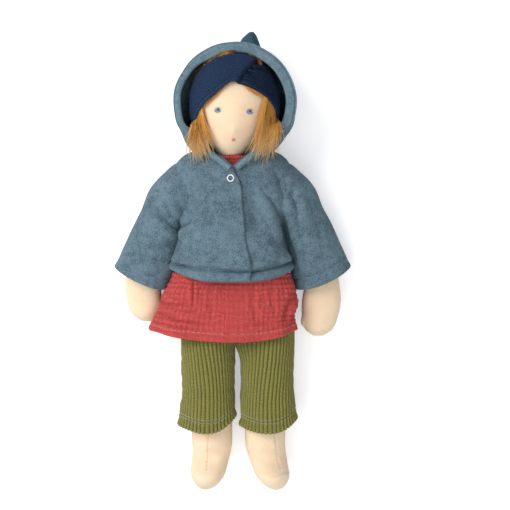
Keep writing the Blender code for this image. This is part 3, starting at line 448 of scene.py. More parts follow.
# A darker copy of the same fleece, for the hood's corner that lies behind the brim: painted shade.
fleece_painted_shade = felted("fleece_painted_shade", rgb(46, 67, 80), rgb(62, 86, 100), rgb(86, 112, 126))
print("fleece of the jacket, the brim and the hood's corner")

# %% [markdown]
# The tunic's double gauze is two thin cloths tacked together in a small grid, which
# crinkles when it is washed. The trousers are ribbed, the headband is a finer rib, and
# the skin is a dense cotton jersey, a little warmer on the cheeks.

# %% Gauze, knits, skin and small parts
gauze_red, tree, shader = blank("gauze_red", 0.92, 0.06, 0.2)
grain = place_on_cloth(tree)
warp = node(tree, "ShaderNodeTexWave", Vector=grain, Scale=1 / 0.0026, bands_direction="X",
            Distortion=6.0, Detail=2.0, Detail_Scale=0.6).outputs["Fac"]
weft = node(tree, "ShaderNodeTexWave", Vector=grain, Scale=1 / 0.0034, bands_direction="Y",
            Distortion=9.0, Detail=2.0, Detail_Scale=0.5).outputs["Fac"]
thread = noise(tree, place_on_cloth(tree, (1.0, 0.25, 1.0)), 0.0008, 4.0, 0.7)
blotch = noise(tree, grain, 0.012, 3.0)
# The colour follows the crinkle's bump: lighter on the upright ridges and on the threads as painted highlight, darker
# in the level furrows as painted shade; the blotches are darker at random.
shade = mixed(tree, between(tree, warp, 0.25, 0.8), rgb(214, 76, 74), rgb(246, 110, 104))
for layer, low, high, much, colour in (
        (weft, 0.85, 0.3, 0.35, rgb(192, 58, 58)), (thread, 0.5, 0.75, 0.5, rgb(244, 116, 108)),
        (blotch, 0.4, 0.8, 0.35, rgb(206, 70, 70))):
    shade = mixed(tree, math_of(tree, "MULTIPLY", between(tree, layer, low, high), much), shade, colour)
tree.links.new(shade, shader.inputs["Base Color"])
bump(tree, shader, ((warp, 0.00045), (weft, 0.0003), (thread, 0.0003)))


def knitted(name, dark, middle, light, stitch, deep, fuzz=0.3):
    """A knit: rows of small stitches on the cloth's own grid, with painted shade between the stitches, and a soft
    mottled yarn.
    """
    material, tree, shader = blank(name, 0.93, fuzz, 0.15)
    grain = place_on_cloth(tree)
    rows = node(tree, "ShaderNodeTexWave", Vector=grain, Scale=math.pi / 10 / stitch, bands_direction="Y",
                Distortion=0.8, Detail=1.0).outputs["Fac"]
    walls = noise(tree, place_on_cloth(tree, (1.0, 0.3, 1.0)), stitch, 2.0)
    yarn = noise(tree, grain, 0.0009, 4.0, 0.7)
    loops = math_of(tree, "MULTIPLY", rows, walls)
    shade = mixed(tree, between(tree, loops, 0.05, 0.6), dark, middle)
    shade = mixed(tree, between(tree, yarn, 0.48, 0.75), shade, light)
    # Where the attribute for painted shade is high, the knit is painted darker still.
    painted_shade = node(tree, "ShaderNodeAttribute", attribute_name="painted_shade").outputs["Fac"]
    painted_shade_colour = [part * 0.30 for part in dark[:3]] + [1.0]
    shade = mixed(tree, math_of(tree, "MULTIPLY", painted_shade, 0.85), shade, painted_shade_colour)
    tree.links.new(shade, shader.inputs["Base Color"])
    bump(tree, shader, ((loops, deep), (yarn, deep * 0.6)))
    return material


knit_olive = knitted("knit_olive", rgb(116, 113, 48), rgb(152, 146, 72), rgb(180, 172, 102), 0.0011, 0.0005)
knit_navy = knitted("knit_navy", rgb(24, 37, 62), rgb(42, 62, 93), rgb(62, 86, 120), 0.0007, 0.0002, 0.12)
knit_navy.node_tree.nodes["Principled BSDF"].inputs["Sheen Tint"].default_value = rgb(60, 90, 140)
thread_grey = knitted("stitch_grey", rgb(168, 166, 150), rgb(196, 194, 180), rgb(214, 212, 200), 0.0004, 0.0001)
thread_white = knitted("stitch_white", rgb(205, 160, 158), rgb(228, 200, 198), rgb(240, 226, 222), 0.0004, 0.0001)
string_white = knitted("string_white", rgb(205, 200, 188), rgb(232, 228, 216), rgb(245, 242, 234), 0.0005, 0.0002)
elastic_white = knitted("elastic_white", rgb(196, 196, 192), rgb(226, 226, 222), rgb(240, 240, 238), 0.0008, 0.0003)


def jersey(name, base, warm):
    """Cotton jersey stretched over wool: a fine grain and soft patches of warmer colour."""
    material, tree, shader = blank(name, 0.86, 0.12, 0.2)
    shader.inputs["Subsurface Weight"].default_value = 0.45
    shader.inputs["Subsurface Scale"].default_value = 1.0
    shader.inputs["Subsurface Radius"].default_value = (0.010, 0.006, 0.004)
    space = place_in_space(tree)
    grain = noise(tree, place_in_space(tree, (1.0, 0.35, 1.0)), 0.0005, 3.0, 0.6)
    broad = noise(tree, space, 0.016, 2.0)
    shade = mixed(tree, between(tree, grain, 0.35, 0.7), base, warm)
    shade = mixed(tree, between(tree, broad, 0.35, 0.7), shade, base)
    bump(tree, shader, ((grain, 0.00012), (broad, 0.0004)))
    return material, tree, shader, shade


skin_light, skin_warm = rgb(250, 226, 196), rgb(243, 212, 178)
jersey_skin, tree, shader, shade = jersey("jersey_skin", skin_light, skin_warm)
tree.links.new(shade, shader.inputs["Base Color"])

face_skin, tree, shader, shade = jersey("face_skin", rgb(247, 220, 188), rgb(242, 210, 177))
CHEEKS, CHEEK_Z, BLUSH_REACH = ((-0.0165, 0.1125), (0.0165, 0.1100)), 0.078, 0.0115
# The cheeks are rubbed with a little red wax
for x, y in CHEEKS:
    space = node(tree, "ShaderNodeTexCoord").outputs["Object"]
    moved = node(tree, "ShaderNodeVectorMath", operation="SUBTRACT", i0=space, i1=(x, y, CHEEK_Z)).outputs["Vector"]
    away = node(tree, "ShaderNodeVectorMath", operation="LENGTH", i0=moved).outputs["Value"]
    blush = math_of(tree, "MULTIPLY", between(tree, away, BLUSH_REACH, 0.0), 0.26)
    shade = mixed(tree, blush, shade, rgb(247, 182, 150))
tree.links.new(shade, shader.inputs["Base Color"])

mohair, tree, shader = blank("mohair", 0.6, 0.0, 0.2)
strand = node(tree, "ShaderNodeAttribute", attribute_name="strand").outputs["Fac"]
tip = node(tree, "ShaderNodeAttribute", attribute_name="tip").outputs["Fac"]
shade = mixed(tree, strand, rgb(122, 68, 16), rgb(232, 170, 86))
shade = mixed(tree, math_of(tree, "MULTIPLY", between(tree, tip, 0.62, 1.0), 0.6), shade, rgb(230, 204, 158))
tree.links.new(shade, shader.inputs["Base Color"])

wig_base, tree, shader = blank("wig_base", 0.9, 0.2, 0.2)
weave = noise(tree, place_in_space(tree, (1.0, 0.2, 1.0)), 0.0008, 4.0)
tree.links.new(mixed(tree, between(tree, weave, 0.35, 0.65), rgb(112, 66, 22), rgb(184, 122, 56)),
               shader.inputs["Base Color"])
bump(tree, shader, ((weave, 0.0008),))


def thread_of(name, dark, light):
    """Embroidery thread: a soft gloss and a fine twist."""
    material, tree, shader = blank(name, 0.5, 0.1, 0.4)
    twist = noise(tree, place_in_space(tree), 0.0004, 2.0)
    tree.links.new(mixed(tree, between(tree, twist, 0.4, 0.65), dark, light), shader.inputs["Base Color"])
    return material


eye_blue = thread_of("thread_eye_blue", rgb(118, 134, 152), rgb(166, 180, 198))
eye_dark = thread_of("thread_eye_dark", rgb(52, 52, 58), rgb(86, 86, 92))
eye_white = thread_of("thread_eye_white", rgb(215, 218, 224), rgb(240, 242, 246))
lash_brown = thread_of("thread_lash", rgb(150, 118, 92), rgb(186, 152, 122))
mouth_red = thread_of("thread_mouth", rgb(232, 122, 104), rgb(246, 154, 132))
seam_thread = thread_of("thread_seam", rgb(196, 138, 104), rgb(216, 164, 128))
snap_white = blank("snap_white", 0.3, 0.0, 0.5)[0]
snap_white.node_tree.nodes["Principled BSDF"].inputs["Base Color"].default_value = rgb(244, 245, 246)
print(len(bpy.data.materials), "materials")

# %% [markdown]
# ## Camera, light and floor
#
# The camera looks straight down, as in the photo. A large soft lamp stands at the upper
# left. The floor is plain and pale; only where the camera sees it directly is it
# brightened to white, so that the light on the doll stays as it is.

# %% Camera, light and floor
PHOTO_WIDTH = 0.4386  # what the photo's width shows, at the height of the chest
CHEST_Z = 0.040
LENS, SENSOR = 0.090, 0.036
AIM = (0, 0, 0.02)  # where both lamps point
FLOOR_HALF = 2
FLOOR_GLOW = 0.42  # white added to what the camera sees of the floor
SKY_STRENGTH = 0.43

camera = bpy.data.objects.new("camera", bpy.data.cameras.new("camera"))
camera.data.lens, camera.data.sensor_width = LENS * 1000, SENSOR * 1000
camera.data.clip_start = 0.05
camera.location = (0.01935, 0.0060, CHEST_Z + PHOTO_WIDTH * LENS / SENSOR)
bpy.context.scene.collection.objects.link(camera)
bpy.context.scene.camera = camera
bpy.context.scene.render.resolution_x = bpy.context.scene.render.resolution_y = 1020
bpy.context.scene.view_settings.view_transform = "Standard"


def lamp(name, place, size, watts, colour=(1.0, 1.0, 1.0)):
    """A square soft lamp that points at the doll."""
    light = bpy.data.objects.new(name, bpy.data.lights.new(name, "AREA"))
    light.data.size, light.data.energy, light.data.color = size, watts, colour
    light.location = place
    light.rotation_euler = (Vector(AIM) - Vector(place)).to_track_quat("-Z", "Y").to_euler()
    bpy.context.scene.collection.objects.link(light)


lamp("softbox", (-0.70, 0.46, 0.86), 0.70, 9.2, (1.0, 0.99, 0.98))
lamp("front", (-0.05, -0.75, 1.25), 1.3, 9.0)

floor_mesh = bpy.data.meshes.new("floor")
corners = [(x * FLOOR_HALF, y * FLOOR_HALF, 0) for x, y in ((-1, -1), (1, -1), (1, 1), (-1, 1))]
floor_mesh.from_pydata(corners, [], [(0, 1, 2, 3)])
floor = link("floor", floor_mesh)
floor_paper, tree, shader = blank("floor_paper", 0.9, 0.0, 0.1)
shader.inputs["Base Color"].default_value = (0.90, 0.90, 0.905, 1.0)
floor_mesh.materials.append(floor_paper)

seen = node(tree, "ShaderNodeLightPath")
glow = node(tree, "ShaderNodeEmission", Color=(1, 1, 1, 1),
            Strength=math_of(tree, "MULTIPLY", seen.outputs["Is Camera Ray"], FLOOR_GLOW))
total = node(tree, "ShaderNodeAddShader", i0=shader.outputs["BSDF"], i1=glow.outputs["Emission"])
tree.links.new(total.outputs["Shader"], tree.nodes["Material Output"].inputs["Surface"])

world = bpy.data.worlds.new("studio")
bpy.context.scene.world = world
world.use_nodes = True
back = world.node_tree.nodes["Background"]
back.inputs["Color"].default_value = (0.93, 0.96, 1.0, 1.0)
back.inputs["Strength"].default_value = SKY_STRENGTH
print("camera, two lamps and a floor")

# %% [markdown]
# ## The head
#
# A wool ball tied under jersey. The tied eye line leaves a faint hollow across the face,
# the cheeks are full and a bead of wool makes the nose. Eyes and mouth are a few satin
# stitches each, laid on the skin as separate threads.

# %% Head
# Along the head from brow to chin: how narrow it is, and how far it leans to its right
JAW_PLACES = (0.0, 1.60, 1.80, 2.00, 2.19, 2.46, 2.71, 2.87, math.pi)
JAW_WIDTHS = (1.0, 1.0, 0.965, 0.89, 0.81, 0.745, 0.765, 0.90, 1.0)
CHIN_LEAN = 0.0032


def head_section(polar, out):
    """(half width, depth share, sideways place) of the head at a place from crown to chin."""
    fullness = np.sin(polar) * (1 - 0.05 * np.cos(polar) * np.sin(polar))
    jaw = curve(JAW_PLACES, JAW_WIDTHS, polar)
    deep = fullness ** (1 - 0.22 * ease(polar, 1.4, 2.2)) * (1 + jaw) / 2
    return fullness * (HEAD_WIDTH / 2 + out) * jaw, deep, HEAD.x - CHIN_LEAN * ease(polar, 1.6, 2.5)


def head_surface(polar, angle, out=0.0):
    """Points on the head grown by out: polar runs from crown to chin, angle as on the body."""
    half, deep, middle = head_section(polar, out)
    x = middle + half * np.cos(angle)
    y = HEAD.y + np.cos(polar) * (HEAD_HEIGHT / 2 + out) + 0 * angle
    z = HEAD.z + deep * (HEAD_DEPTH / 2 + out) * np.sin(angle)
    front = ease(np.sin(angle), 0.0, 0.7)
    nose = np.hypot(x - HEAD.x + 0.0005, (y - HEAD.y + 0.0237) * 0.9)
    z = z + front * 0.0014 * hill(nose, 0.0040)
    socket = hill(y - HEAD.y + 0.0085, 0.0075) * ease(np.abs(x - HEAD.x), 0.001, 0.012)
    z = z - front * 0.0009 * socket
    cheek = np.hypot(np.abs(x - HEAD.x) - 0.0165, y - HEAD.y + 0.0205)
    z = z + front * 0.0008 * hill(cheek, 0.010)
    return np.stack([x, y, z], axis=-1)


def over_head(x, y):
    """The point on the front of the head above a place given by x and y."""
    polar = np.arccos(np.clip((y - HEAD.y) / (HEAD_HEIGHT / 2), -0.999, 0.999))
    half, _, middle = head_section(polar, 0.0)
    angle = np.arccos(np.clip((x - middle) / np.maximum(half, 1e-4), -0.999, 0.999))
    return head_surface(polar, angle)


polar, angle = round_grid(np.linspace(0.02, math.pi - 0.02, 110), 160)
head = worn(stuffed("visible_head", head_surface(polar, angle), face_skin), "head", "head", slot="jersey_skin")
print("head:", len(head.data.vertices), "points")


# %% A thread, and stitches laid side by side
def threads(name, paths, radius, material, sides=6):
    """Thin tubes along several paths of points, tapered at both ends, as one object."""
    points, faces = [], []
    for path in paths:
        path = np.asarray(path, float)
        count = len(path)
        way = np.gradient(path, axis=0)
        way /= np.maximum(np.linalg.norm(way, axis=1, keepdims=True), 1e-12)
        guide = np.array([0, 0, 1.0]) if abs(way[:, 2]).max() < 0.9 else np.array([0, 1.0, 0])
        side = np.cross(way, guide)
        side /= np.maximum(np.linalg.norm(side, axis=1, keepdims=True), 1e-12)
        up = np.cross(side, way)
        share = np.linspace(0, 1, count)
        thick = radius * np.sqrt(np.clip(1 - (2 * share - 1) ** 6, 0.02, 1))
        turn = np.linspace(0, 2 * math.pi, sides, endpoint=False)
        rings = (path[:, None] + thick[:, None, None] * (
            np.cos(turn)[None, :, None] * side[:, None] + np.sin(turn)[None, :, None] * up[:, None]))
        start = sum(len(p) for p in points)
        points.append(rings.reshape(-1, 3))
        faces += grid_faces(count, sides, True, start)[0].tolist()
        for end, order in ((0, 1), (count - 1, -1)):
            cap = (start + end * sides + np.arange(sides)[::order]).tolist()
            faces += [[cap[0], cap[k], cap[k + 1]] for k in range(1, sides - 1)]
    mesh = bpy.data.meshes.new(name)
    mesh.from_pydata(np.concatenate(points).tolist(), [], faces)
    mesh.shade_smooth()
    mesh.materials.append(material)
    return link(name, mesh)


def stitch_on_head(start, end, bow=0.0002, out=0.00015, count=7):
    """One stitch over the face between two (x, y) places given from the head's middle, in mm."""
    share = np.linspace(0, 1, count)
    x = HEAD.x + (start[0] + (end[0] - start[0]) * share) / 1000
    y = HEAD.y + (start[1] + (end[1] - start[1]) * share) / 1000
    lift = np.sin(share * math.pi) * bow + out
    return over_head(x, y) + np.stack([0 * x, 0 * x, lift], axis=-1)


def satin(middle, wide, high, count, slant=0.0):
    """Upright stitches side by side that fill an ellipse."""
    found = []
    for k in range(count):
        across = (k + 0.5) / count * 2 - 1
        half = high / 2 * math.sqrt(max(1 - across**2, 0.06))
        x = middle[0] + across * wide / 2
        found.append(stitch_on_head((x - slant, middle[1] - half), (x + slant, middle[1] + half)))
    return found


MOUTH = (-0.6, -30.6)
for name, x, y in (("eye_right", -13.5, -6.6), ("eye_left", 13.1, -7.8)):
    iris = threads(f"{name}_iris", satin((x, y - 0.35), 5.7, 4.1, 14, 0.15), 0.00026, eye_blue)
    whites = threads(f"{name}_whites", satin((x + 2.3, y + 0.1), 2.0, 2.5, 5), 0.00024, eye_white)
    raised = [path + np.array([0, 0, 0.0003]) for path in satin((x + 0.2, y + 0.5), 2.3, 2.5, 7)]
    pupil = threads(f"{name}_pupil", raised, 0.00026, eye_dark)
    spot = stitch_on_head((x - 0.1, y + 0.9), (x + 0.5, y + 1.1), 0.0001, 0.0008, 5)
    glint = threads(f"{name}_glint", [spot], 0.00022, eye_white)
    corners = ((x - 3.1, y + 0.6), (x - 0.8, y + 2.2), (x + 1.4, y + 2.2), (x + 3.2, y + 0.9))
    runs = [stitch_on_head(start, end, 0.0001, 0.0002, 5) for start, end in zip(corners, corners[1:])]
    lash = threads(f"{name}_lash", [np.concatenate([runs[0][:-1], runs[1][:-1], runs[2]])], 0.00014, lash_brown)
    worn(iris, "head", name, slot="thread_blue")
    for piece in (whites, pupil, glint, lash):
        worn(piece, "head")

level = [MOUTH[1] + 0.6 * k for k in range(-1, 2)]
lips = [stitch_on_head((-2.2, y), (1.0, y)) for y in level] + satin(MOUTH, 2.8, 2.8, 6)
worn(threads("mouth_stitches", lips, 0.00028, mouth_red), "head", "mouth", slot="thread_red")
print("eyes and mouth embroidered")

# %% [markdown]
# ## Legs and trousers
#
# Each leg is stuffed jersey with a seam down its front that ends at the toes; the foot
# bends up at the instep. The trouser legs are cut from a rib knit. Their ribs are real
# ridges, which run a little askew as they were pulled on, and the hem is stitched twice.

# %% Legs
LEG_LENGTH = 0.1355
THIGH = 0.0203
HEEL_FLOOR = 0.0037
LEG_IN = {"left": 0.0016, "right": 0.0032}
TOE_OUT = {"left": 0.0092, "right": 0.0052}
# Down the leg: half width, lowest, highest, lean inward and toe outward, as shares
LEG_SHARES = (
    (-0.10, 0.96, -0.960, 0.960, 0.0, 0.0),
    (0.00, 1.00, -1.000, 1.000, 0.0, 0.0),
    (0.30, 0.94, -0.960, 0.900, 0.3, 0.0),
    (0.62, 0.88, -0.960, 0.760, 1.0, 0.0),
    (0.72, 0.85, -0.960, 0.680, 1.0, 0.0),
    (0.785, 0.82, -0.970, 0.520, 1.0, 0.16),
    (0.845, 0.78, -0.975, 0.780, 1.0, 0.40),
    (0.90, 0.74, -0.960, 1.080, 1.0, 0.65),
    (1.000, 0.60, -0.880, 1.140, 1.0, 1.0),
)
TOE_START = 0.885
LIMB_ROUND = 2.1  # squareness of the sections of legs and arms


def limb(down, angle, side, name):
    """Points on a leg at a share of the way from hip to sole."""
    wide, low, high, inward, outward = columns_at(LEG_SHARES, down)
    lean = outward * TOE_OUT[name] - inward * LEG_IN[name]
    toe = np.sqrt(np.clip(1 - (np.clip(down - TOE_START, 0, 1) / (1 - TOE_START)) ** 2, 0, 1)) ** 0.9
    middle = (low + high) / 2
    wide, low, high = wide * toe, middle + (low - middle) * toe, middle + (high - middle) * toe
    x = PELVIS_SHIFT + side * (HIP.x + lean) + wide * THIGH * bent(np.cos(angle), LIMB_ROUND)
    y = HIP.y - down * LEG_LENGTH + 0 * angle
    z = HIP.z + (low + high) / 2 * THIGH + (high - low) / 2 * THIGH * bent(np.sin(angle), LIMB_ROUND)
    return np.stack([x, y, np.maximum(z, HEEL_FLOOR)], axis=-1)


SEAMS = {"right": ((-20.6, -146), (-21.6, -164), (-22.4, -182)),
         "left": ((35.5, -146), (38.6, -164), (42.0, -181))}
TOE_CREASE = ((33.7, -184), (42.0, -182.4), (48.6, -181.4))
toe_shares = 1 - 0.1 * (1 - np.linspace(0, 1, 36)[1:]) ** 2.2
down, angle = round_grid(np.concatenate([np.linspace(-0.1, 0.9, 110), toe_shares]), 128)
for side, name in SIDES:
    points = limb(down, angle, side, name)
    dent = crease(points, SEAMS[name], 0.0008, 0.0007)
    if name == "left":
        dent += crease(points, TOE_CREASE, 0.0011, 0.0017)
    pinch = np.array(SEAMS[name][1]) / 1000 + (0, -0.006)
    away = np.hypot((points[..., 0] - pinch[0]) / 0.010, (points[..., 1] - pinch[1]) / 0.007)
    dent -= 0.0016 * np.exp(-away**2) * ease(points[..., 2], 0.02, 0.03)
    dent += 0.0005 * ripple(points, 11 + side, 0.035, 2)
    skin = points + normals_of(points, True) * dent[..., None]
    leg = worn(stuffed(f"visible_{name}_leg", skin, jersey_skin), f"{name}_leg", f"{name}_leg", slot="jersey_skin")
    line = np.array(SEAMS[name]) / 1000
    y = np.linspace(line[0, 1] + 0.02, line[-1, 1], 60)
    x = np.interp(-y, -line[:, 1], line[:, 0])
    # The skin's point nearest to each place, of those on the front
    near = [np.argmin(np.hypot(points[..., 0] - at_x, points[..., 1] - at_y) + (points[..., 2] < HIP.z))
            for at_x, at_y in zip(x, y)]
    z = skin.reshape(-1, 3)[near, 2]
    z = np.convolve(np.pad(z, 3, mode="edge"), np.ones(7) / 7, "valid") + 0.0001
    seam = np.stack([x, y, z], axis=-1)
    stitches = [seam[k:k + 3] for k in range(0, len(seam) - 3, 3)]
    worn(threads(f"{name}_leg_seam", stitches, 0.00018, seam_thread, 5), f"{name}_leg")
print("two legs with their front seams")

# %% Trouser legs and seat
TROUSER_LENGTH = 0.0842
RIB_DEEP = 0.0016
ASKEW = {"left": (-0.05, -0.16), "right": (0.10, 0.26)}
HEM_RISE = {"left": (0.0080, 0.0028), "right": (0.0097, 0.0038)}  # of the sides, and the slope across
STITCHED = 0.8895  # share of the way down at the hem's stitching
STITCH_ROWS = (STITCHED - 0.0143, STITCHED + 0.0166)
TUCKED = 0.19  # share of the leg's length that goes up into the seat
RIBS, SEAT_RIBS = 44, 80
TROUSER_ROUND = 2.15


def ribbed(turn, ribs, deep):
    """Rounded ridges with narrow furrows, all round a tube."""
    return deep * (np.abs(np.cos(turn * ribs / 2)) ** 0.6 - 1)


def trouser_point(share, angle, side, name, out):
    """Points on a trouser leg grown by out, at a share of the way down it."""
    y = HIP.y - share * TROUSER_LENGTH + 0 * angle
    middle = PELVIS_SHIFT + side * HIP.x
    hem = ease(share, 0.55, 1.0)
    y = y + ease(share, 0.45, 1.0) * np.cos(angle) ** 2 * (HEM_RISE[name][0] + HEM_RISE[name][1] * np.cos(angle))
    half = THIGH * 0.985 + 0.0012 + out + 0.0008 * hem - 0.0008 * np.sin(np.pi * np.clip(share, 0, 1))
    low, high = -0.96 * THIGH - out, THIGH * (0.98 - 0.10 * ease(share, 0.1, 0.9)) + out + 0.0022 * hem
    x = middle + half * bent(np.cos(angle), TROUSER_ROUND) + side * 0.0008 * hem
    if name == "left":
        x = x - 0.0054 * (1 - ease(share, 0.04, 0.30)) * ease(-np.cos(angle), 0.2, 1.0)
    z = HIP.z + (low + high) / 2 + (high - low) / 2 * bent(np.sin(angle), TROUSER_ROUND)
    return np.stack([x, y, np.maximum(z, 0.0024)], axis=-1)


for side, name in SIDES:
    share, angle = round_grid((1 + TUCKED) * edged(150, TROUSER_LENGTH + 0.016, 0.0016) - TUCKED, RIBS * 8)
    twist = ASKEW[name][0] + ASKEW[name][1] * share + 0.05 * np.sin(5 * share + side) * np.sin(angle)
    points = trouser_point(share, angle, side, name, 0.0008)
    narrower = 0.12 * ease(-share, 0.0, TUCKED)
    points[..., 0] = points[..., 0] * (1 - narrower) + (PELVIS_SHIFT + side * HIP.x) * narrower
    points[..., 2] = points[..., 2] * (1 - narrower) + HIP.z * narrower
    normal = normals_of(points, True)
    rib = ribbed(angle + twist, RIBS, RIB_DEEP)
    stitched = hill((share - STITCHED) * TROUSER_LENGTH, 0.0012)
    points[..., 1] -= 0.0009 * ease(share, 0.97, 1.0) * (1 + rib / RIB_DEEP)
    slack = 0.0009 * ripple(points * (1, 1.6, 1), 31 + side, 0.030, 2)
    out = slack - 0.0007 * stitched + 0.0012 * ease(share, 0.94, 1.0)
    thick = KNIT + rib * (1 - 0.35 * stitched) + 0.0004
    # Deep between the ribs the knit is painted darker: painted shade.
    leg = cloth(f"{name}_trouser", points + normal * out[..., None], thick, True, knit_olive,
                np.clip(-rib / RIB_DEEP * 1.5 - 0.25, 0, 1))
    worn(leg, f"{name}_leg", f"{name}_trouser_leg", slot="knit_olive")
    stitches = []
    for place in STITCH_ROWS:
        row = int(np.argmin(np.abs(share[:, 0] - place)))
        ring = (points + normal * (out + thick)[..., None])[row]
        for start in range(0, len(ring) - 6, 8):
            piece = ring[start:start + 7] + normal[row, start:start + 7] * 0.0002
            stitches.append(piece + np.array([0, 0.0004, 0]) * np.linspace(-1, 1, 7)[:, None])
    worn(threads(f"{name}_trouser_stitches", stitches, 0.00022, thread_grey, 5), f"{name}_leg")

y, angle = round_grid(np.linspace(-0.0395, -0.0125, 60)[::-1], SEAT_RIBS * 8)
rib = ribbed(angle, SEAT_RIBS, 0.0010)
# Deep between the ribs the seat's knit is painted darker: painted shade.
seat = cloth("trouser_seat_knit", body(y, angle, 0.0004), KNIT - 0.0003 + rib, True, knit_olive,
             np.clip(-rib * 1100, 0, 1))
worn(seat, "torso", "trouser_seat", slot="knit_olive")
y, angle = round_grid(np.linspace(-0.0072, -0.0122, 14), SEAT_RIBS * 8)
elastic = cloth("waistband", body(y, angle, 0.0003), 0.0013 + 0.0003 * np.sin(angle * 90), True, elastic_white)
worn(elastic, "torso", "waist_elastic", slot="elastic_white")
print("trousers: two legs of", RIBS, "ribs, a seat and its elastic")

# %% [markdown]
# ## Arms and hands
#
# The arm is one stuffed piece that ends in a mitten hand. The thumb grows out of it: the
# two shapes are melted together and smoothed, which leaves the soft crease between them.

# %% Arms
HAND_Z = 0.0135
ARM_DEPTH = 0.0240
ARM_SIZES = {"left": (0.0402, 0.1245), "right": (0.0415, 0.1120)}
HAND_FULLER = {"left": 0.13, "right": 0.02}
# Inner edge out and down, outer edge out and down, half depth, height of the middle
ARM_SHARES = (
    (0.020, 0.110, 0.020, -0.100, 0.90, 1.00),
    (0.120, 0.110, 0.158, -0.110, 1.00, 1.00),
    (0.220, 0.156, 0.463, -0.060, 1.00, 0.90),
    (0.285, 0.237, 0.692, 0.060, 1.00, 0.75),
    (0.361, 0.382, 0.921, 0.285, 0.98, 0.50),
    (0.520, 0.510, 1.130, 0.446, 0.95, 0.25),
    (0.640, 0.606, 1.280, 0.580, 0.90, 0.08),
    (0.590, 0.760, 1.350, 0.735, 0.90, 0.00),
    (0.600, 0.880, 1.290, 0.865, 0.88, 0.00),
    (0.650, 0.955, 1.190, 0.950, 0.72, 0.00),
    (0.800, 1.000, 1.000, 1.000, 0.22, 0.00),
)


def melted(pieces, voxel, name, material):
    """Several closed pieces melted into one skin and smoothed."""
    bpy.ops.object.select_all(action="DESELECT")
    for piece in pieces:
        piece.select_set(True)
    bpy.context.view_layer.objects.active = pieces[0]
    bpy.ops.object.join()
    obj = bpy.context.view_layer.objects.active
    obj.name = obj.data.name = name
    melt = obj.modifiers.new("melt", "REMESH")
    melt.mode, melt.voxel_size, melt.use_smooth_shade = "VOXEL", voxel, True
    soft = obj.modifiers.new("soft", "SMOOTH")
    soft.factor, soft.iterations = 0.5, 9
    with bpy.context.temp_override(object=obj, active_object=obj, selected_objects=[obj]):
        bpy.ops.object.modifier_apply(modifier=melt.name)
        bpy.ops.object.modifier_apply(modifier=soft.name)
    obj.data.materials.clear()
    obj.data.materials.append(material)
    obj.data.shade_smooth()
    return obj


def egg(name, middle, half_axes, turn):
    """A closed egg with its long axis along Y, turned about the upright."""
    polar, angle = round_grid(np.linspace(0.02, math.pi - 0.02, 30), 32)
    local = np.stack([np.sin(polar) * np.cos(angle) * half_axes[0], np.cos(polar) * half_axes[1],
                      np.sin(polar) * np.sin(angle) * half_axes[2]], axis=-1)
    turned = local @ np.array(Matrix.Rotation(turn, 3, "Z")).T
    return stuffed(name, turned + np.array(middle))


share, angle = round_grid(1 - (1 - np.linspace(0, 1, 90)) ** 1.3, 72)
for side, name in SIDES:
    reach, drop = ARM_SIZES[name]
    places = np.linspace(0, 1, len(ARM_SHARES))
    in_out, in_down, out_out, out_down, half, rise = columns_at(ARM_SHARES, share, places)
    start_x = TORSO_HALF + 0.0003
    inner = np.stack([start_x + in_out * reach, SHOULDER.y - in_down * drop], axis=-1)
    outer = np.stack([start_x + out_out * reach, SHOULDER.y - out_down * drop], axis=-1)
    fuller = 1 + HAND_FULLER[name] * ease(share, 0.35, 0.55)
    flat = (inner + outer) / 2 + (outer - inner) / 2 * (fuller * bent(np.cos(angle), LIMB_ROUND))[..., None]
    z = HAND_Z + rise * (SHOULDER.z - HAND_Z) + half * ARM_DEPTH / 2 * bent(np.sin(angle), LIMB_ROUND)
    points = np.stack([side * flat[..., 0], flat[..., 1], np.maximum(z, 0.0030)], axis=-1)
    points = points[:, ::-1] if side < 0 else points
    points = points + normals_of(points, True) * 0.0004 * ripple(points, 5 + side, 0.03, 2)[..., None]
    arm = stuffed(f"{name}_arm_form", points)
    thumb_at = (side * (TORSO_HALF + 0.66 * reach), SHOULDER.y - 0.870 * drop, HAND_Z + 0.0010)
    thumb = egg(f"{name}_thumb_form", thumb_at, (0.0046, 0.0088, 0.0048), side * -math.radians(24))
    hand = melted([arm, thumb], 0.0007, f"visible_{name}_arm", jersey_skin)
    worn(hand, f"{name}_arm", f"{name}_arm", slot="jersey_skin")
print("two arms with mitten hands")

# %% [markdown]
# ## The jacket
#
# Boiled wool about 2.4 mm thick. Its hem and cuffs are turned up and stitched, so they
# are twice as thick and the stitching pulls in a groove. The creases follow the photo:
# they start at the armpits, where the cloth has to give, and run out over the front.

# %% Sleeves
SLEEVE_SPAN, SLEEVE_DROP, SLEEVE_DEPTH = 0.0600, 0.0825, 0.0480
# Inner edge out and down, outer edge out and down, middle height and half depth
SLEEVE_SHARES = (
    (-0.080, 0.291, -0.080, -0.352, 0.600, 0.500),
    (0.000, 0.300, 0.060, -0.330, 0.600, 0.505),
    (0.030, 0.362, 0.262, -0.228, 0.590, 0.505),
    (0.045, 0.459, 0.452, -0.091, 0.545, 0.500),
    (0.075, 0.604, 0.633, 0.181, 0.480, 0.480),
    (0.125, 0.795, 0.825, 0.483, 0.410, 0.440),
    (0.215, 1.020, 1.020, 0.775, 0.370, 0.400),
)
SLEEVE_PLACES = (0.0, 0.05, 0.16, 0.32, 0.52, 0.76, 1.0)
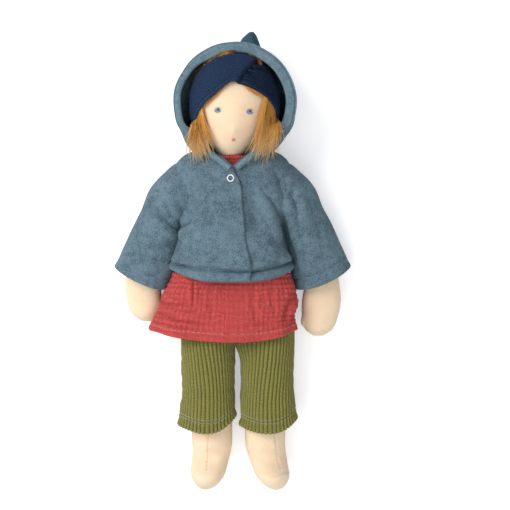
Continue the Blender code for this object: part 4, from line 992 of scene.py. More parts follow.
# Creases seen from above in mm: path, half width and depth
SLEEVE_CREASES = {
    "right": (
        (((-42, 25), (-52, 31), (-60, 40), (-67, 51)), 0.0034, 0.0052),
        (((-44, 33), (-52, 40), (-57, 50)), 0.0028, 0.0034),
        (((-48, 16), (-58, 12), (-72, 14)), 0.0042, 0.0030),
        (((-50, 3), (-62, 0), (-80, 4)), 0.0050, 0.0028),
        (((-55, 62), (-68, 50), (-78, 34)), 0.0060, 0.0022),
        (((-60, -8), (-76, -14), (-92, -9)), 0.0045, 0.0020)),
    "left": (
        (((44, 40), (47, 24), (52, 8), (55, -4)), 0.0034, 0.0044),
        (((58, 60), (68, 46), (76, 26)), 0.0055, 0.0022),
        (((56, 10), (70, 2), (84, 2)), 0.0050, 0.0024),
        (((48, 62), (54, 50), (57, 36)), 0.0036, 0.0030)),
}
HEM_TURN = 0.0105  # height of the turned hem at the cuffs
CUFF_BOW = 0.0042  # how far the cuff's middle hangs below its corners
SLEEVE_ROUND = 2.2


def sleeve_points(share, angle, side):
    """Points on a sleeve's inside, at a share of the way down it."""
    in_out, in_down, out_out, out_down, middle, half = columns_at(SLEEVE_SHARES, share, SLEEVE_PLACES)
    inner = np.stack([SHOULDER.x + in_out * SLEEVE_SPAN, SHOULDER.y - in_down * SLEEVE_DROP], axis=-1)
    outer = np.stack([SHOULDER.x + out_out * SLEEVE_SPAN, SHOULDER.y - out_down * SLEEVE_DROP], axis=-1)
    across = (outer - inner) / 2
    length = np.linalg.norm(across, axis=-1, keepdims=True)
    flat = (inner + outer) / 2 + across / length * (length - FLEECE) * bent(np.cos(angle), SLEEVE_ROUND)[..., None]
    bow = CUFF_BOW * ease(share, 0.6, 1.0) * np.sin(angle) ** 2
    flat = flat + np.stack([across[..., 1], -across[..., 0]], axis=-1) / length * bow[..., None]
    z = middle * SLEEVE_DEPTH + (half * SLEEVE_DEPTH - FLEECE) * bent(np.sin(angle), SLEEVE_ROUND)
    points = np.stack([side * flat[..., 0], flat[..., 1], np.maximum(z, FLEECE)], axis=-1)
    return points[:, ::-1] if side < 0 else points


for side, name in SIDES:
    share, angle = round_grid(edged(120, 0.095, 0.0022, 6), 220)
    points = sleeve_points(share, angle, side)
    normal = normals_of(points, True)
    front = ease(normal[..., 2], -0.2, 0.5)
    left = np.linalg.norm(np.diff(points, axis=0), axis=-1)
    to_hem = np.flip(np.cumsum(np.flip(np.concatenate([left, left[-1:]]), 0), axis=0), 0)
    dent = creased(points, SLEEVE_CREASES[name], 0.0, front, False)
    dent = dent + 0.0013 * ripple(points, 51 + side, 0.040, 2) * ease(share, 0.05, 0.2)
    faces = ease(np.abs(normal[..., 2]), 0.1, 0.6)
    groove = hill(to_hem - HEM_TURN, 0.0019) * faces
    turned = ease(HEM_TURN + 0.0018 - to_hem, 0.0, 0.0040) * faces
    thick = FLEECE + 0.0003 * turned - 0.0006 * groove + 0.0006 * hill(to_hem - 0.0026, 0.0026)
    middle = points + normal * (dent - 0.0006 * groove)[..., None]
    sleeve = cloth(f"visible_{name}_sleeve", middle, thick, True, fleece_blue)
    armhole = ("torso", f"{name}_arm", (side * 0.0400, 0, 0), (side * 0.0560, 0, 0))
    worn(sleeve, armhole, f"{name}_sleeve", slot="fleece_blue")
print("two sleeves with turned cuffs")

# %% Jacket: its sections, front edges and hem
JACKET_IN = 0.0034
LAP = 0.0036
FLARE = 0.0245
SKIRT_END = -0.0693
JACKET_TOP, JACKET_HEM = 0.094, -0.0170
JACKET_ROUND = 2.7
# Share of the way from armhole to skirt hem, then how far the clothes stand off at the right and the left
FLARE_SHARES = ((0.00, 0.00, 0.00), (0.20, 0.00, 0.00), (0.42, 0.32, 0.16), (0.595, 0.68, 0.34),
                (0.66, 0.92, 0.42), (0.745, 1.03, 0.40), (0.85, 0.94, -0.06), (1.00, 0.68, -0.26))
# The shoulders: height, half width, lowest and highest point of the cloth, in mm
SHOULDERS = ((52, 42.5, 1.0, 58.2), (65, 44.2, 1.2, 59.6), (75, 46.2, 2.8, 60.4), (81, 45.8, 6.5, 59.4),
             (85, 44.0, 11.5, 56.5), (88, 41.0, 16.5, 52.8), (91.5, 34.5, 25.0, 46.8), (94, 24.0, 33.0, 40.0))
# The right front's edge down the front: height and sideways place, in mm
FRONT_EDGE = ((94.0, 2.0), (80.1, 0.8), (68.3, 6.4), (46.4, 8.6), (30.5, 10.1), (15.3, 11.8), (-3.2, 15.8),
              (-18.0, 14.4))
APEX_Y = 0.0801
COLLAR_SLOPE = 1.13


def flare_at(y):
    """How far the clothes stand off the body at the right and the left."""
    down = (SHOULDER.y - y) / (SHOULDER.y - SKIRT_END)
    return [share * FLARE for share in columns_at(FLARE_SHARES, down)]


def jacket_section(y):
    """(sideways place, half width at the right and left, lowest, highest) of the jacket's inside."""
    flare = flare_at(y)
    down = (NECK_Y - y) / TORSO_LENGTH
    half, low, high, shift = columns_at(BODY_SHARES, down)
    up = ease(y, 0.042, 0.058)
    wide, lowest, highest = columns_at(np.array(SHOULDERS) / 1000, y)
    plain = half * TORSO_HALF + JACKET_IN
    right, left = (side + plain * (1 - up) + wide * up for side in flare)
    low = np.maximum(low * CHEST_DEPTH, FLEECE) * (1 - up) + lowest * up
    high = (high * CHEST_DEPTH + BACK_FLOOR / 2 + JACKET_IN) * (1 - up) + highest * up
    return shift * PELVIS_SHIFT, right, left, low, high


def jacket_point(y, angle, lap=0.0):
    """Points on the jacket's inside; the hem lies higher at the sides."""
    y = y + 0.0100 * ease(0.0355 - y, 0.0, 0.0525) * np.cos(angle) ** 2
    shift, right, left, low, high = jacket_section(y)
    across, up = bent(np.cos(angle), JACKET_ROUND), bent(np.sin(angle), JACKET_ROUND)
    x = shift + across * (np.where(across < 0, right, left) + 0.0012)
    z = (low + high) / 2 + up * ((high - low) / 2 + lap)
    return np.stack([x, y + 0 * x, np.maximum(z, FLEECE)], axis=-1)


def angle_for(y, x):
    """The section's angle at which the front passes a sideways place."""
    shift, right, left, _, _ = jacket_section(y)
    share = np.clip((x - shift) / np.where(x < shift, right, left), -0.98, 0.98)
    return np.arccos(np.sign(share) * np.abs(share) ** (JACKET_ROUND / 2))


def front_edge(y, side):
    """Sideways place of a front's edge: straight down the front, and off to the side at the collar."""
    straight = columns_at(np.array(FRONT_EDGE[::-1]) / 1000, y)[0]
    collar = 0.0008 + side * COLLAR_SLOPE * np.maximum(y - APEX_Y, 0.0)
    under = 0.0100 * ease(APEX_Y + 0.002 - y, 0.0, 0.012) if side > 0 else 0.0
    return np.where(y > APEX_Y, collar, straight) - under


# Creases of the jacket's front, seen from above in mm: path, half width and depth
JACKET_CREASES = {
    "right": (
        (((-48, 36), (-42, 29), (-36, 32), (-31, 39)), 0.0032, 0.0042),
        (((-46, 26), (-44, 18), (-47, 8)), 0.0036, 0.0030),
        (((-30, 62), (-34, 50), (-38, 40)), 0.0055, 0.0018),
        (((-24, 12), (-14, 4), (0, 2)), 0.0070, 0.0010),
        (((-36, 6), (-24, 0), (-10, -2)), 0.0060, 0.0010)),
    "left": (
        (((27, 60), (34, 50), (39, 38), (43, 24), (47, 8)), 0.0030, 0.0050),
        (((30, 24), (38, 16), (46, 4)), 0.0045, 0.0022),
        (((34, 78), (40, 68), (43, 56), (43, 40)), 0.0030, 0.0030),
        (((14, 68), (19, 46), (22, 14)), 0.0085, 0.0032),
        (((42, 38), (43.5, 20), (44, 6)), 0.0110, 0.0034),
        (((20, 4), (30, 0), (40, 0)), 0.0045, 0.0014)),
}


def jacket_cloth(name, y, angle, lap, creases, seed):
    """A panel of the jacket with its turned hem and its creases."""
    points = jacket_point(y, angle, lap)
    normal = normals_of(points, False)
    front = ease(normal[..., 2], -0.2, 0.6)
    dent = creased(points, creases, 0.0, front) + 0.0014 * ripple(points, seed, 0.045, 2)
    to_hem = y - JACKET_HEM
    band = 0.0106 - 0.0022 * np.cos(angle) ** 2
    facing = ease(np.sin(angle), 0.05, 0.5)
    over = ease(to_hem, band - 0.0003, band + 0.0004)
    bulge = hill(to_hem - band - 0.0020, 0.0030)
    low_roll = hill(to_hem - 0.0030, 0.0030)
    tuck = hill(to_hem - band + 0.0010, 0.0016)
    full = 0.0042 * np.exp(-np.maximum(to_hem - band, 0) / 0.020) + 0.0004 * bulge
    thick = FLEECE + 0.0006 + facing * over * full
    thick = thick + 0.0011 * low_roll - 0.0024 * tuck * facing
    return cloth(name, points + normal * dent[..., None], thick, False, fleece_blue)


rows = JACKET_TOP - (JACKET_TOP - JACKET_HEM) * edged(200, JACKET_TOP - JACKET_HEM, 0.0024, 6)
share = edged(300, 0.33, 0.0014, 5)
y = rows[:, None] + 0 * share[None]
last = angle_for(rows, front_edge(rows, 1))[:, None]
angle = (-math.pi + 0.03) + share[None] * (last + math.pi - 0.03)
jacket_main = jacket_cloth("jacket_main", y, angle, 0.0, JACKET_CREASES["left"], 71)
worn(jacket_main, "torso", "jacket_back", "jacket_front_left", slot="fleece_blue")

share = edged(150, 0.10, 0.0014, 5)
y = rows[:, None] + 0 * share[None]
first = angle_for(rows, front_edge(rows, -1))[:, None]
angle = first + share[None] * (math.pi - 0.02 - first)
lap = LAP * ease(math.pi - 0.70 - angle, 0.0, 0.45)
jacket_right = jacket_cloth("jacket_front_upper", y, angle, lap, JACKET_CREASES["right"], 73)
fold_line = ("torso", "right_front", (-0.0530, 0, 0), (-0.0400, 0, 0))
worn(jacket_right, fold_line, "jacket_front_right", slot="fleece_blue")
print("jacket: back with the left front, and the upper right front")

# %% [markdown]
# ## The tunic
#
# Red double gauze. The bodice lies under the jacket, and the skirt is sewn on in two
# halves with a seam at the front and back, one small pleat, and a topstitched hem.

# %% Tunic
TUNIC_IN = 0.0022
SEAM_X = -0.0064  # of the skirt's front seam
SKIRT_TOP = -0.0100
BODICE_TOP, BODICE_END = 0.0868, -0.0140
SKIRT_HEIGHT = 0.0593
HEM_STITCH = 0.872  # share of the way down
SKIRT_CREASES = (
    (((-6.4, -14), (-6.2, -34), (-5.6, -54)), 0.0009, 0.0003),
    (((-33, -15), (-33.3, -26), (-33.6, -36)), 0.0013, 0.0018),
    (((-68, -40), (-58, -46), (-44, -50), (-20, -53)), 0.0022, 0.0011),
    (((-66, -31), (-55, -36), (-42, -38)), 0.0020, 0.0009), (((-62, -52), (-50, -55), (-34, -57)), 0.0016, 0.0008),
    (((52, -28), (46, -40), (42, -52)), 0.0026, 0.0013), (((57, -36), (51, -46), (48, -54)), 0.0018, 0.0010),
    (((18, -20), (17, -34), (20, -50)), 0.0024, 0.0007), (((-18, -18), (-19, -34), (-17, -50)), 0.0022, 0.0006),
    (((34, -18), (33, -30), (35, -42)), 0.0020, 0.0006), (((0, -56), (20, -54), (40, -49)), 0.0022, 0.0006))


def crinkle(points, across, down, seed):
    """The puckers of double gauze: narrow upright ridges crossed by finer level ones."""
    wander = 0.0011 * ripple(points * (1, 1, 0.4), seed, 0.020, 2)
    level = 0.0010 * ripple(points * (1, 1, 0.4), seed + 1, 0.016, 2)
    ridges = np.sin((across + wander) * 2 * math.pi / 0.0042) * (0.6 + 0.4 * ripple(points, seed + 2, 0.010, 2))
    lines = np.sin((down + level) * 2 * math.pi / 0.0048)
    return 0.00036 * ridges + 0.00032 * lines + 0.0009 * ripple(points, seed + 3, 0.028, 2)


def tunic_half(name, side, start, end):
    """Half of the skirt between its front and back seams, from one angle to the other."""
    rows = SKIRT_TOP - (SKIRT_TOP - SKIRT_END) * edged(190, SKIRT_TOP - SKIRT_END, 0.0007)
    y, angle = np.meshgrid(rows, start + edged(330, 0.20, 0.0007) * (end - start), indexing="ij")
    fall = (SKIRT_TOP - y) / (SKIRT_TOP - SKIRT_END)
    risen = y + 0.0012 * fall**2 + 0.0098 * fall**2 * np.cos(angle) ** 2
    points = body(risen, angle, TUNIC_IN, flare_at(risen))
    spread = ease(fall, 0.35, 1.0) * (0.0011 + 0.0010 * np.sin(9 * angle))
    normal = normals_of(points, False)
    front = ease(normal[..., 2], -0.2, 0.5)
    dent = creased(points, SKIRT_CREASES, spread, front, deeper=1.7)
    across, down = lengths_of(points, False)
    calm = 1 - 0.55 * ease(fall, 0.86, 0.93)
    dent = dent + crinkle(points, across[None], down[:, None], 80 + side) * calm + 0.0005
    stitch = HEM_STITCH + 0.02 * np.cos(angle) ** 2
    groove = hill((fall - stitch) * SKIRT_HEIGHT, 0.0006)
    thick = GAUZE + 0.0006 * ease(fall, stitch - 0.004, stitch + 0.004) - 0.0005 * groove
    half = cloth(name, points + normal * dent[..., None], thick, False, gauze_red)
    top = points + normal * (dent + thick)[..., None]
    row, column = np.argmin(np.abs(fall - stitch), axis=0), np.arange(top.shape[1])
    line = top[row, column] + normal[row, column] * 0.00012
    for axis in range(3):
        line[3:-3, axis] = np.convolve(line[:, axis], np.ones(7) / 7, "valid")
    stitches = [line[k:k + 6] for k in range(3, len(line) - 8, 7)]
    thread = threads(f"{name}_topstitch", stitches, 0.00022, thread_white, 5)
    lap = ("torso", "left_leg" if side > 0 else "right_leg", (0, -0.0400, 0), (0, -0.0720, 0))
    worn(half, lap, slot="gauze_red")
    worn(thread, lap)
    return half


front_angle = float(angle_for(np.array(-0.04), SEAM_X))
left_half = tunic_half("tunic_skirt_left", 1, -math.pi / 2, front_angle)
tunic_half("tunic_skirt_right", -1, front_angle, 2 * math.pi - math.pi / 2)
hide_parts("tunic_skirt")

y, angle = round_grid(BODICE_TOP - (BODICE_TOP - BODICE_END) * edged(170, 0.10, 0.0007), 260)
points = body(y, angle, TUNIC_IN, flare_at(y))
up = ease(y, 0.070, 0.086)
points[..., 1] += (0.0008 + 0.0026 * (np.sin(angle) > 0)) * np.sin(angle) * up
normal = normals_of(points, True)
across, down = lengths_of(points, True)
dent = crinkle(points, across[None, :-1], down[:, None], 90) - 0.0003
hem = 0.0006 * ease(y, 0.0835, 0.0845) - 0.0004 * hill(y - 0.0835, 0.0006)
bodice = cloth("tunic_bodice_cloth", points + normal * dent[..., None], GAUZE + hem, True, gauze_red)
worn(bodice, "torso", "tunic_bodice", slot="gauze_red")
print("tunic: bodice and two skirt halves")

# %% [markdown]
# ## The hood
#
# The hood is one bag of boiled wool. A row of curves describes it: the first closes round
# the neck at the front, and each later one lies further up and opens wider. A puffy brim
# is sewn along the opening; down the neckline it narrows to a flat strip.

# %% Hood
# Half the turn that a curve makes, half width, back (y, z), front edge (y, z), rise, in mm
HOOD_CURVES = (
    (178, 31.0, 84.0, 11.0, 80.6, 64.4, 8.0), (162, 34.5, 90.0, 6.0, 87.5, 63.6, 5.0),
    (138, 38.0, 97.0, 2.6, 96.0, 60.0, 3.0), (109, 44.2, 106.0, 2.6, 106.5, 56.0, 1.5),
    (98, 49.8, 117.0, 2.6, 117.0, 57.0, 0.0), (94, 52.3, 130.0, 2.6, 130.0, 58.0, 0.0),
    (93, 52.0, 141.0, 2.6, 142.0, 58.0, 0.0), (93, 48.6, 152.0, 2.8, 154.0, 58.0, 0.0),
    (93, 41.6, 163.0, 4.0, 166.0, 58.0, 0.0), (93, 32.8, 173.0, 9.0, 175.0, 58.0, 0.0),
    (93, 22.2, 181.0, 19.0, 181.5, 58.0, 0.0), (93, 11.6, 185.4, 33.0, 185.2, 58.0, 0.0),
    (93, 0.6, 186.8, 52.0, 186.4, 58.0, 0.0))
HOOD_MIDDLE = 0.0025
COLLAR_STEEP = 0.80  # how far in the collar's edge on the doll's left lies, against the right
HOOD_ROUND = 2.15
HOOD_IN = FLEECE + 0.0006  # how far the cloth lies inside the brim's line
HOOD_FOOT = ("torso", "hood", (0, 0.0820, 0), (0, 0.1120, 0))
HOOD_CREASES = (
    (((-50, 108), (-44, 100), (-34, 94)), 0.0040, 0.0022), (((50, 112), (46, 101), (38, 93)), 0.0040, 0.0024),
    (((-47, 100), (-38, 92), (-24, 88)), 0.0030, 0.0016))


def hood_point(row, share, grow):
    """A point of the hood: row counts the curves from the neck up, share runs from -1 to 1."""
    table = np.array(HOOD_CURVES) * ([math.pi / 180] + [0.001] * 6)
    turn, half, back_y, back_z, edge_y, edge_z, rise = columns_at(table, row, np.arange(len(table)))
    angle = turn * share
    reach = 1 - bent(np.cos(turn), HOOD_ROUND)
    go = (1 - bent(np.cos(angle), HOOD_ROUND)) / reach
    steep = (1 - COLLAR_STEEP) * ease(3.6 - row, 0, 2.0) * ease(np.abs(share), 0.5, 1.0)
    side = np.where(share > 0, 1 - steep, 1.0)
    middle = 0.0008 + (HOOD_MIDDLE - 0.0008) * ease(row, 0, 3)
    x = middle + (half + grow) * bent(np.sin(angle), HOOD_ROUND) * side
    y = back_y + go * (edge_y - back_y) + rise * np.sin(angle) ** 2
    z = back_z + go * (edge_z - back_z)
    lean = 0.0080 * ease(row, 2, 5) * ease(11 - row, 0, 5) * np.maximum(-share, 0) ** 0.5
    x = x + lean * np.maximum(1 - z / edge_z, 0)
    return np.stack([x, y, z], axis=-1)


rows = 12 * edged(210, 0.16, 0.0)
share = 2 * edged(320, 0.22, 0.0014, 5) - 1
row, share = np.meshgrid(rows, share, indexing="ij")
points = hood_point(row, share, -HOOD_IN)[::-1]
points[..., 1] -= HOOD_IN * ease(row[::-1], 8, 12)
normal = normals_of(points, False)
if normal[60, 160, 2] > 0:
    points, normal = points[:, ::-1], -normal[:, ::-1]
seam = hill(points[..., 0] - HOOD_MIDDLE, 0.0012) * ease(0.030 - points[..., 2], 0.0, 0.01)
soft = ease(1 - np.abs(share), 0.0, 0.25)
dent = creased(points, HOOD_CREASES, 0.0016 * ripple(points, 61, 0.050, 2) * soft - 0.0010 * seam, front=False)
points = points + normal * dent[..., None]
points[..., 2] = np.maximum(points[..., 2], FLEECE)
hood = worn(cloth("hood_cloth", points, FLEECE, False, fleece_blue), HOOD_FOOT, "hood", slot="fleece_blue")
hood_area = sum(polygon.area for polygon in hood.data.polygons) / 2

# %% The corner at the top, and the brim
BRIM_ROUND = 3.2
share, angle = round_grid(np.linspace(0, 1, 50), 96)
full = np.sqrt(np.clip(1 - share**3, 0, 1)) * (1 - 0.55 * share) + 0.02
middle = np.stack([0.0125 + 0.0036 * share**1.5, 0.1720 + 0.0275 * share, 0.0300 + 0.0030 * share], axis=-1)
corner = middle + np.stack([0.0152 * full * np.cos(angle), 0.0010 * full * np.sin(2 * angle),
                            0.0130 * full * np.sin(angle)], axis=-1)
corner += normals_of(corner, True) * 0.0006 * ripple(corner, 63, 0.012, 2)[..., None]
# The corner is given the darker copy of the fleece, as painted shade behind the brim.
worn(stuffed("hood_corner", corner[::-1], fleece_painted_shade), HOOD_FOOT)

along = np.linspace(-1, 1, 620)
row = 12 * (1 - np.abs(along))
path = hood_point(row, np.sign(along + 1e-9), 0.0)
for axis in range(3):
    for _ in range(3):
        path[1:-1, axis] = (path[:-2, axis] + 2 * path[1:-1, axis] + path[2:, axis]) / 4
gap = np.linalg.norm(np.diff(path, axis=0), axis=1)
length = np.concatenate([[0], np.cumsum(gap)])
even = np.linspace(0, length[-1], 520)
path = np.stack([np.interp(even, length, path[:, axis]) for axis in range(3)], axis=-1)
collar = 1 - ease(path[:, 1], 0.086, 0.108)
way = np.gradient(path, axis=0)
for _ in range(12):
    way[1:-1] = (way[:-2] + 2 * way[1:-1] + way[2:]) / 4
way /= np.linalg.norm(way, axis=1, keepdims=True)
inward = np.cross(way, [0, 0, 1.0])
inward /= np.linalg.norm(inward, axis=1, keepdims=True)
if inward[260] @ np.array([0, -1, 0]) < 0:
    inward = -inward
upright = np.cross(inward, way)
upright *= np.sign(upright[:, 2:])
outer_left = ease(-path[:, 0], 0.018, 0.046) * ease(path[:, 1], 0.098, 0.112)
half_wide = 0.0047 - 0.0023 * collar - 0.0015 * outer_left
half_high = 0.0024 - 0.0008 * collar
angle = np.linspace(0, 2 * math.pi, 72, endpoint=False)
wave = 0.0006 * ripple(path, 65, 0.030, 2)
middle = path + inward * (half_wide * (1 - 2 * collar) + wave)[:, None]
middle = middle + upright * (0.0010 + 0.0018 * collar)[:, None]
across, up = bent(np.cos(angle), BRIM_ROUND), bent(np.sin(angle), BRIM_ROUND)
groove = 0.0012 * hill(across + 0.70, 0.13) * (up > 0)
joint = 0.0003 * hill(path[:, 0] - 0.0030, 0.0007) * (path[:, 1] > 0.15)
dimple = 1 + 0.10 * ripple(path[:, None] + angle[None, :, None] * 0.004, 66, 0.012, 2)
high = (up * half_high[:, None] * dimple) - groove[None] * (1 - 0.4 * collar[:, None]) - joint[:, None] * (up > 0)
points = (middle[:, None] + across[None, :, None] * half_wide[:, None, None] * inward[:, None]
          + high[..., None] * upright[:, None])
if normals_of(points, True)[260, 18, 2] < 0:
    points = points[::-1]
worn(stuffed("brim_band", points, brim_blue), HOOD_FOOT, "hood_brim", slot="brim_blue")
print("hood:", round(hood_area * 1e4), "square cm of cloth, with its corner and brim")

# %% [markdown]
# ## The headband
#
# A knitted band, twisted once at the front. It is laid round the head on a tilted axis.
# The lobe on the doll's right crosses over the other one, which is drawn into folds.

# %% Headband
TILT = math.radians(41)
# Degrees round the head from the front towards its left, and the band's lower edge along its axis in mm
BAND_LOW = ((-180, -8.4), (-130, -14.0), (-83.7, -21.3), (-48.4, -20.7), (-23.6, -18.2), (-6, -13.2),
            (2.5, -11.6), (10.3, -13.1), (32, -14.7), (60.5, -14.6), (88.5, -14.2), (130, -14.0), (180, -8.4))
BAND_HIGH = 0.0175
# Where the upper lobe ends: the place along the axis in mm, and the degrees round the head there
CREASE_LINE = ((-16, 1), (-12, 3), (-8.8, 5.9), (0, 13), (7.5, 19.1), (19, 26), (24, 28))


def band_edge(degrees):
    """The band's lower edge along its axis, in metres."""
    return columns_at(np.array(BAND_LOW) / (1, 1000), degrees)[0]


def round_head(turn, rise, out):
    """Points on the head grown by out, at an angle round the band's axis and a place along it."""
    axes = np.array([HEAD_WIDTH / 2, HEAD_HEIGHT / 2, HEAD_DEPTH / 2])
    half = [axis + out for axis in axes]
    axis_y, axis_z, front_y, front_z = math.cos(TILT), -math.sin(TILT), math.sin(TILT), math.cos(TILT)
    sine, cosine = np.sin(turn), np.cos(turn)
    a = (sine / half[0]) ** 2 + (cosine * front_y / half[1]) ** 2 + (cosine * front_z / half[2]) ** 2
    b = 2 * rise * cosine * (axis_y * front_y / half[1] ** 2 + axis_z * front_z / half[2] ** 2)
    c = rise**2 * ((axis_y / half[1]) ** 2 + (axis_z / half[2]) ** 2) - 1
    reach = (-b + np.sqrt(np.maximum(b * b - 4 * a * c, 1e-12))) / (2 * a)
    return np.stack([HEAD.x + reach * sine, HEAD.y + rise * axis_y + reach * cosine * front_y,
                     HEAD.z + rise * axis_z + reach * cosine * front_z], axis=-1)


turn = np.radians(np.concatenate([np.linspace(start, end, count, endpoint=False) for start, end, count in (
    (-180, -60, 120), (-60, 70, 420), (70, 180, 110))]))
share, turn = np.meshgrid(edged(230, 0.034, 0.0010, 4), turn, indexing="ij")
degrees = np.degrees(turn)
low = band_edge(degrees)
rise = BAND_HIGH + share * (low - BAND_HIGH)
from_low = rise - low
fold_at = np.interp(rise * 1000, *zip(*CREASE_LINE))
past = np.radians(degrees - fold_at) * 0.040  # metres past the crease, along the band
fan = np.arctan2(rise - 0.0010, np.maximum(past, 0) + 0.0035)
over = ease(-past, -0.0006, 0.0004)
near = np.exp(-np.abs(past) / 0.014)
folds = 0.0013 * np.exp(-past / 0.014) * (1 - np.cos(fan * 8.0))
lift = over * 0.0016 * near - (1 - over) * (0.0012 * near + folds)
lift = lift - 0.0014 * hill(past, 0.0008)
crossing = np.exp(-np.abs(past) / 0.030)
rib_place = from_low + (1 - over) * 0.0022 * np.sin(fan * 2.2) * crossing
rib = np.abs(np.cos(rib_place * math.pi / 0.0021)) ** 0.7
deep = 0.00045 + 0.00060 * (1 - over) * ease(degrees, 0, 20) * ease(130 - degrees, 0, 40)
rolled = ease(0.0032 - from_low, 0.0, 0.0008) - 0.9 * hill(from_low - 0.0034, 0.0005)
sag = 0.0010 * ripple(np.stack([turn * 0.04, rise], -1), 91, 0.020, 2)
front = ease(np.cos(turn), -0.2, 0.5)
points = round_head(turn, rise, 0.0017)
normal = normals_of(points, True)
if normal[100, 300, 2] < 0:
    points, normal = points[:, ::-1], -normal[:, ::-1]
    lift, rib, deep, rolled, sag, front, over, from_low, past = (
        values[:, ::-1] for values in (lift, rib, deep, rolled, sag, front, over, from_low, past))
thick = 0.0019 + deep * (rib - 1) + 0.00045 * rolled
# Painted shade: darker deep between the ribs, on the lower lobe past the crossing and along the crease; less on the
# rolled lower edge, as a painted highlight.
painted_shade = np.clip((1 - rib) * (0.45 + 900 * deep) + 0.42 * (1 - over) * ease(past, 0.0, 0.006)
                 + 0.6 * hill(past, 0.0016) - 0.25 * ease(0.003 - from_low, 0, 0.001), 0, 1)
out = lift * front + sag * 0.5 + 0.0009 * front
band = cloth("headband_cloth", points + normal * out[..., None], thick, True, knit_navy, painted_shade)
worn(band, "head", "headband", slot="knit_navy")
print("headband:", len(band.data.vertices), "points")

# %% [markdown]
# ## The hair
#
# Long mohair, glued to a thin cap. Each strand is its own thin tapered tube. Strands are
# gathered in locks: at the roots they lie close and dark, and the tips fan out and fade.

# %% Hair: strands and locks
POINTS = 13  # along each strand


def strands(name, paths, radius, tones, sides=4):
    """Tapered tubes along (strand, point, xyz) paths, with a tone for each strand, carried by the head."""
    paths = np.asarray(paths)
    way = np.gradient(paths, axis=1)
    way /= np.maximum(np.linalg.norm(way, axis=-1, keepdims=True), 1e-12)
    side = np.cross(way, np.array([0.13, 0.21, 0.97]))
    side /= np.maximum(np.linalg.norm(side, axis=-1, keepdims=True), 1e-12)
    up = np.cross(side, way)
    share = np.linspace(0, 1, paths.shape[1])
    thick = radius * (0.22 + 0.78 * np.sqrt(1 - share**1.8))
    turn = np.linspace(0, 2 * math.pi, sides, endpoint=False)
    ring = np.cos(turn)[:, None] * side[:, :, None] + np.sin(turn)[:, None] * up[:, :, None]
    rings = paths[:, :, None] + thick[None, :, None, None] * ring
    count, along = paths.shape[:2]
    one = grid_faces(along, sides, True)[0]
    caps = np.array([np.arange(sides)[::-1], (along - 1) * sides + np.arange(sides)])
    one = np.concatenate([one[:, ::-1], caps])
    faces = (one[None] + (np.arange(count) * along * sides)[:, None, None]).reshape(-1, 4)
    mesh = bpy.data.meshes.new(name)
    mesh.from_pydata(rings.reshape(-1, 3).tolist(), [], faces.tolist())
    tone = np.repeat(np.asarray(tones), along * sides)
    tip = np.tile(np.repeat(share, sides), count)
    for label, values in (("strand", tone), ("tip", tip)):
        mesh.attributes.new(label, "FLOAT", "POINT").data.foreach_set("value", values.astype(np.float32))
    mesh.shade_smooth()
    mesh.materials.append(mohair)
    return worn(link(name, mesh), "head")


def resampled(route, count=POINTS, reach=1.0):
    """Points spread evenly along a smooth line through a few places."""
    route = np.asarray(route, float)
    fine = np.stack(columns_at(route, np.linspace(0, len(route) - 1, 80), np.arange(len(route))), -1)
    passed = np.concatenate([[0], np.cumsum(np.linalg.norm(np.diff(fine, axis=0), axis=1))])
    at = np.linspace(0, passed[-1] * min(reach, 1.0), count)
    return np.stack([np.interp(at, passed, column) for column in fine.T], -1)


def ground(x, y):
    """Height of what the hair lies on: the head, and below it the collar and shoulders."""
    wide, high, deep = (size / 2 + 0.001 for size in (HEAD_WIDTH, HEAD_HEIGHT, HEAD_DEPTH))
    share = 1 - ((x - HEAD.x) / wide) ** 2 - ((y - HEAD.y) / high) ** 2
    on_head = HEAD.z + deep * np.sqrt(np.maximum(share, 0))
    inside = ease(y, 0.098, 0.110)
    shoulders = (0.0672 - 4.5 * np.maximum(np.abs(x) - 0.012, 0) ** 2) * (1 - inside) + 0.0420 * inside
    from_middle = np.hypot(x - HOOD_MIDDLE, y - 0.134) + 0.0075 * ease(0.122 - y, 0.0, 0.010)
    on_brim = 0.0650 * ease(from_middle, 0.0385, 0.0415)
    return np.maximum(np.maximum(shoulders, on_brim), np.where(share > 0, on_head, 0.0))


def tuft(name, inner, outer, locks, each, seed, high=0.0030, reach=(0.62, 1.0), fan=0.0034, tone=0.5):
    """Locks side by side between two routes given as (x, y) places in mm."""
    chance = np.random.default_rng(seed)
    inner, outer = resampled(np.array(inner) / 1000, 40), resampled(np.array(outer) / 1000, 40)
    paths, tones = [], []
    share = np.linspace(0, 1, POINTS)
    for lock in range(locks):
        place = (lock + chance.uniform(-0.3, 0.3)) / (locks - 1)
        route, longest = inner + place * (outer - inner), chance.uniform(0.86, 1.0)
        swing = chance.normal(size=2) * 0.0017
        layer = chance.uniform(0.15, 1.0)
        shade = np.clip(tone + chance.normal() * 0.24, 0, 1)
        curl, phase = chance.uniform(0.0003, 0.0008), chance.uniform(0, 6.28)
        for _ in range(each):
            guide = resampled(route, POINTS, longest * chance.uniform(*reach)) + swing * share[:, None] ** 2
            loose = chance.normal(size=2) * 0.00070
            spread = chance.normal(size=2) * fan
            wave = curl * np.sin(share * chance.uniform(3.5, 6.0) + phase + chance.uniform(-0.5, 0.5)) * share
            flat = guide + loose + spread * share[:, None] ** 2.2 + np.stack([wave, 0 * wave], -1)
            lift = high * layer * (0.35 + 0.65 * np.sin(np.pi * (0.15 + 0.6 * share))) + chance.uniform(0, 0.0009)
            z = ground(flat[:, 0], flat[:, 1])
            for _ in range(3):
                z[1:-1] = (z[:-2] + 2 * z[1:-1] + z[2:]) / 4
            paths.append(np.column_stack([flat, z + lift + 0.0004]))
            tones.append(np.clip(shade + chance.normal() * 0.12, 0, 1))
    return strands(name, paths, 0.00019, tones)


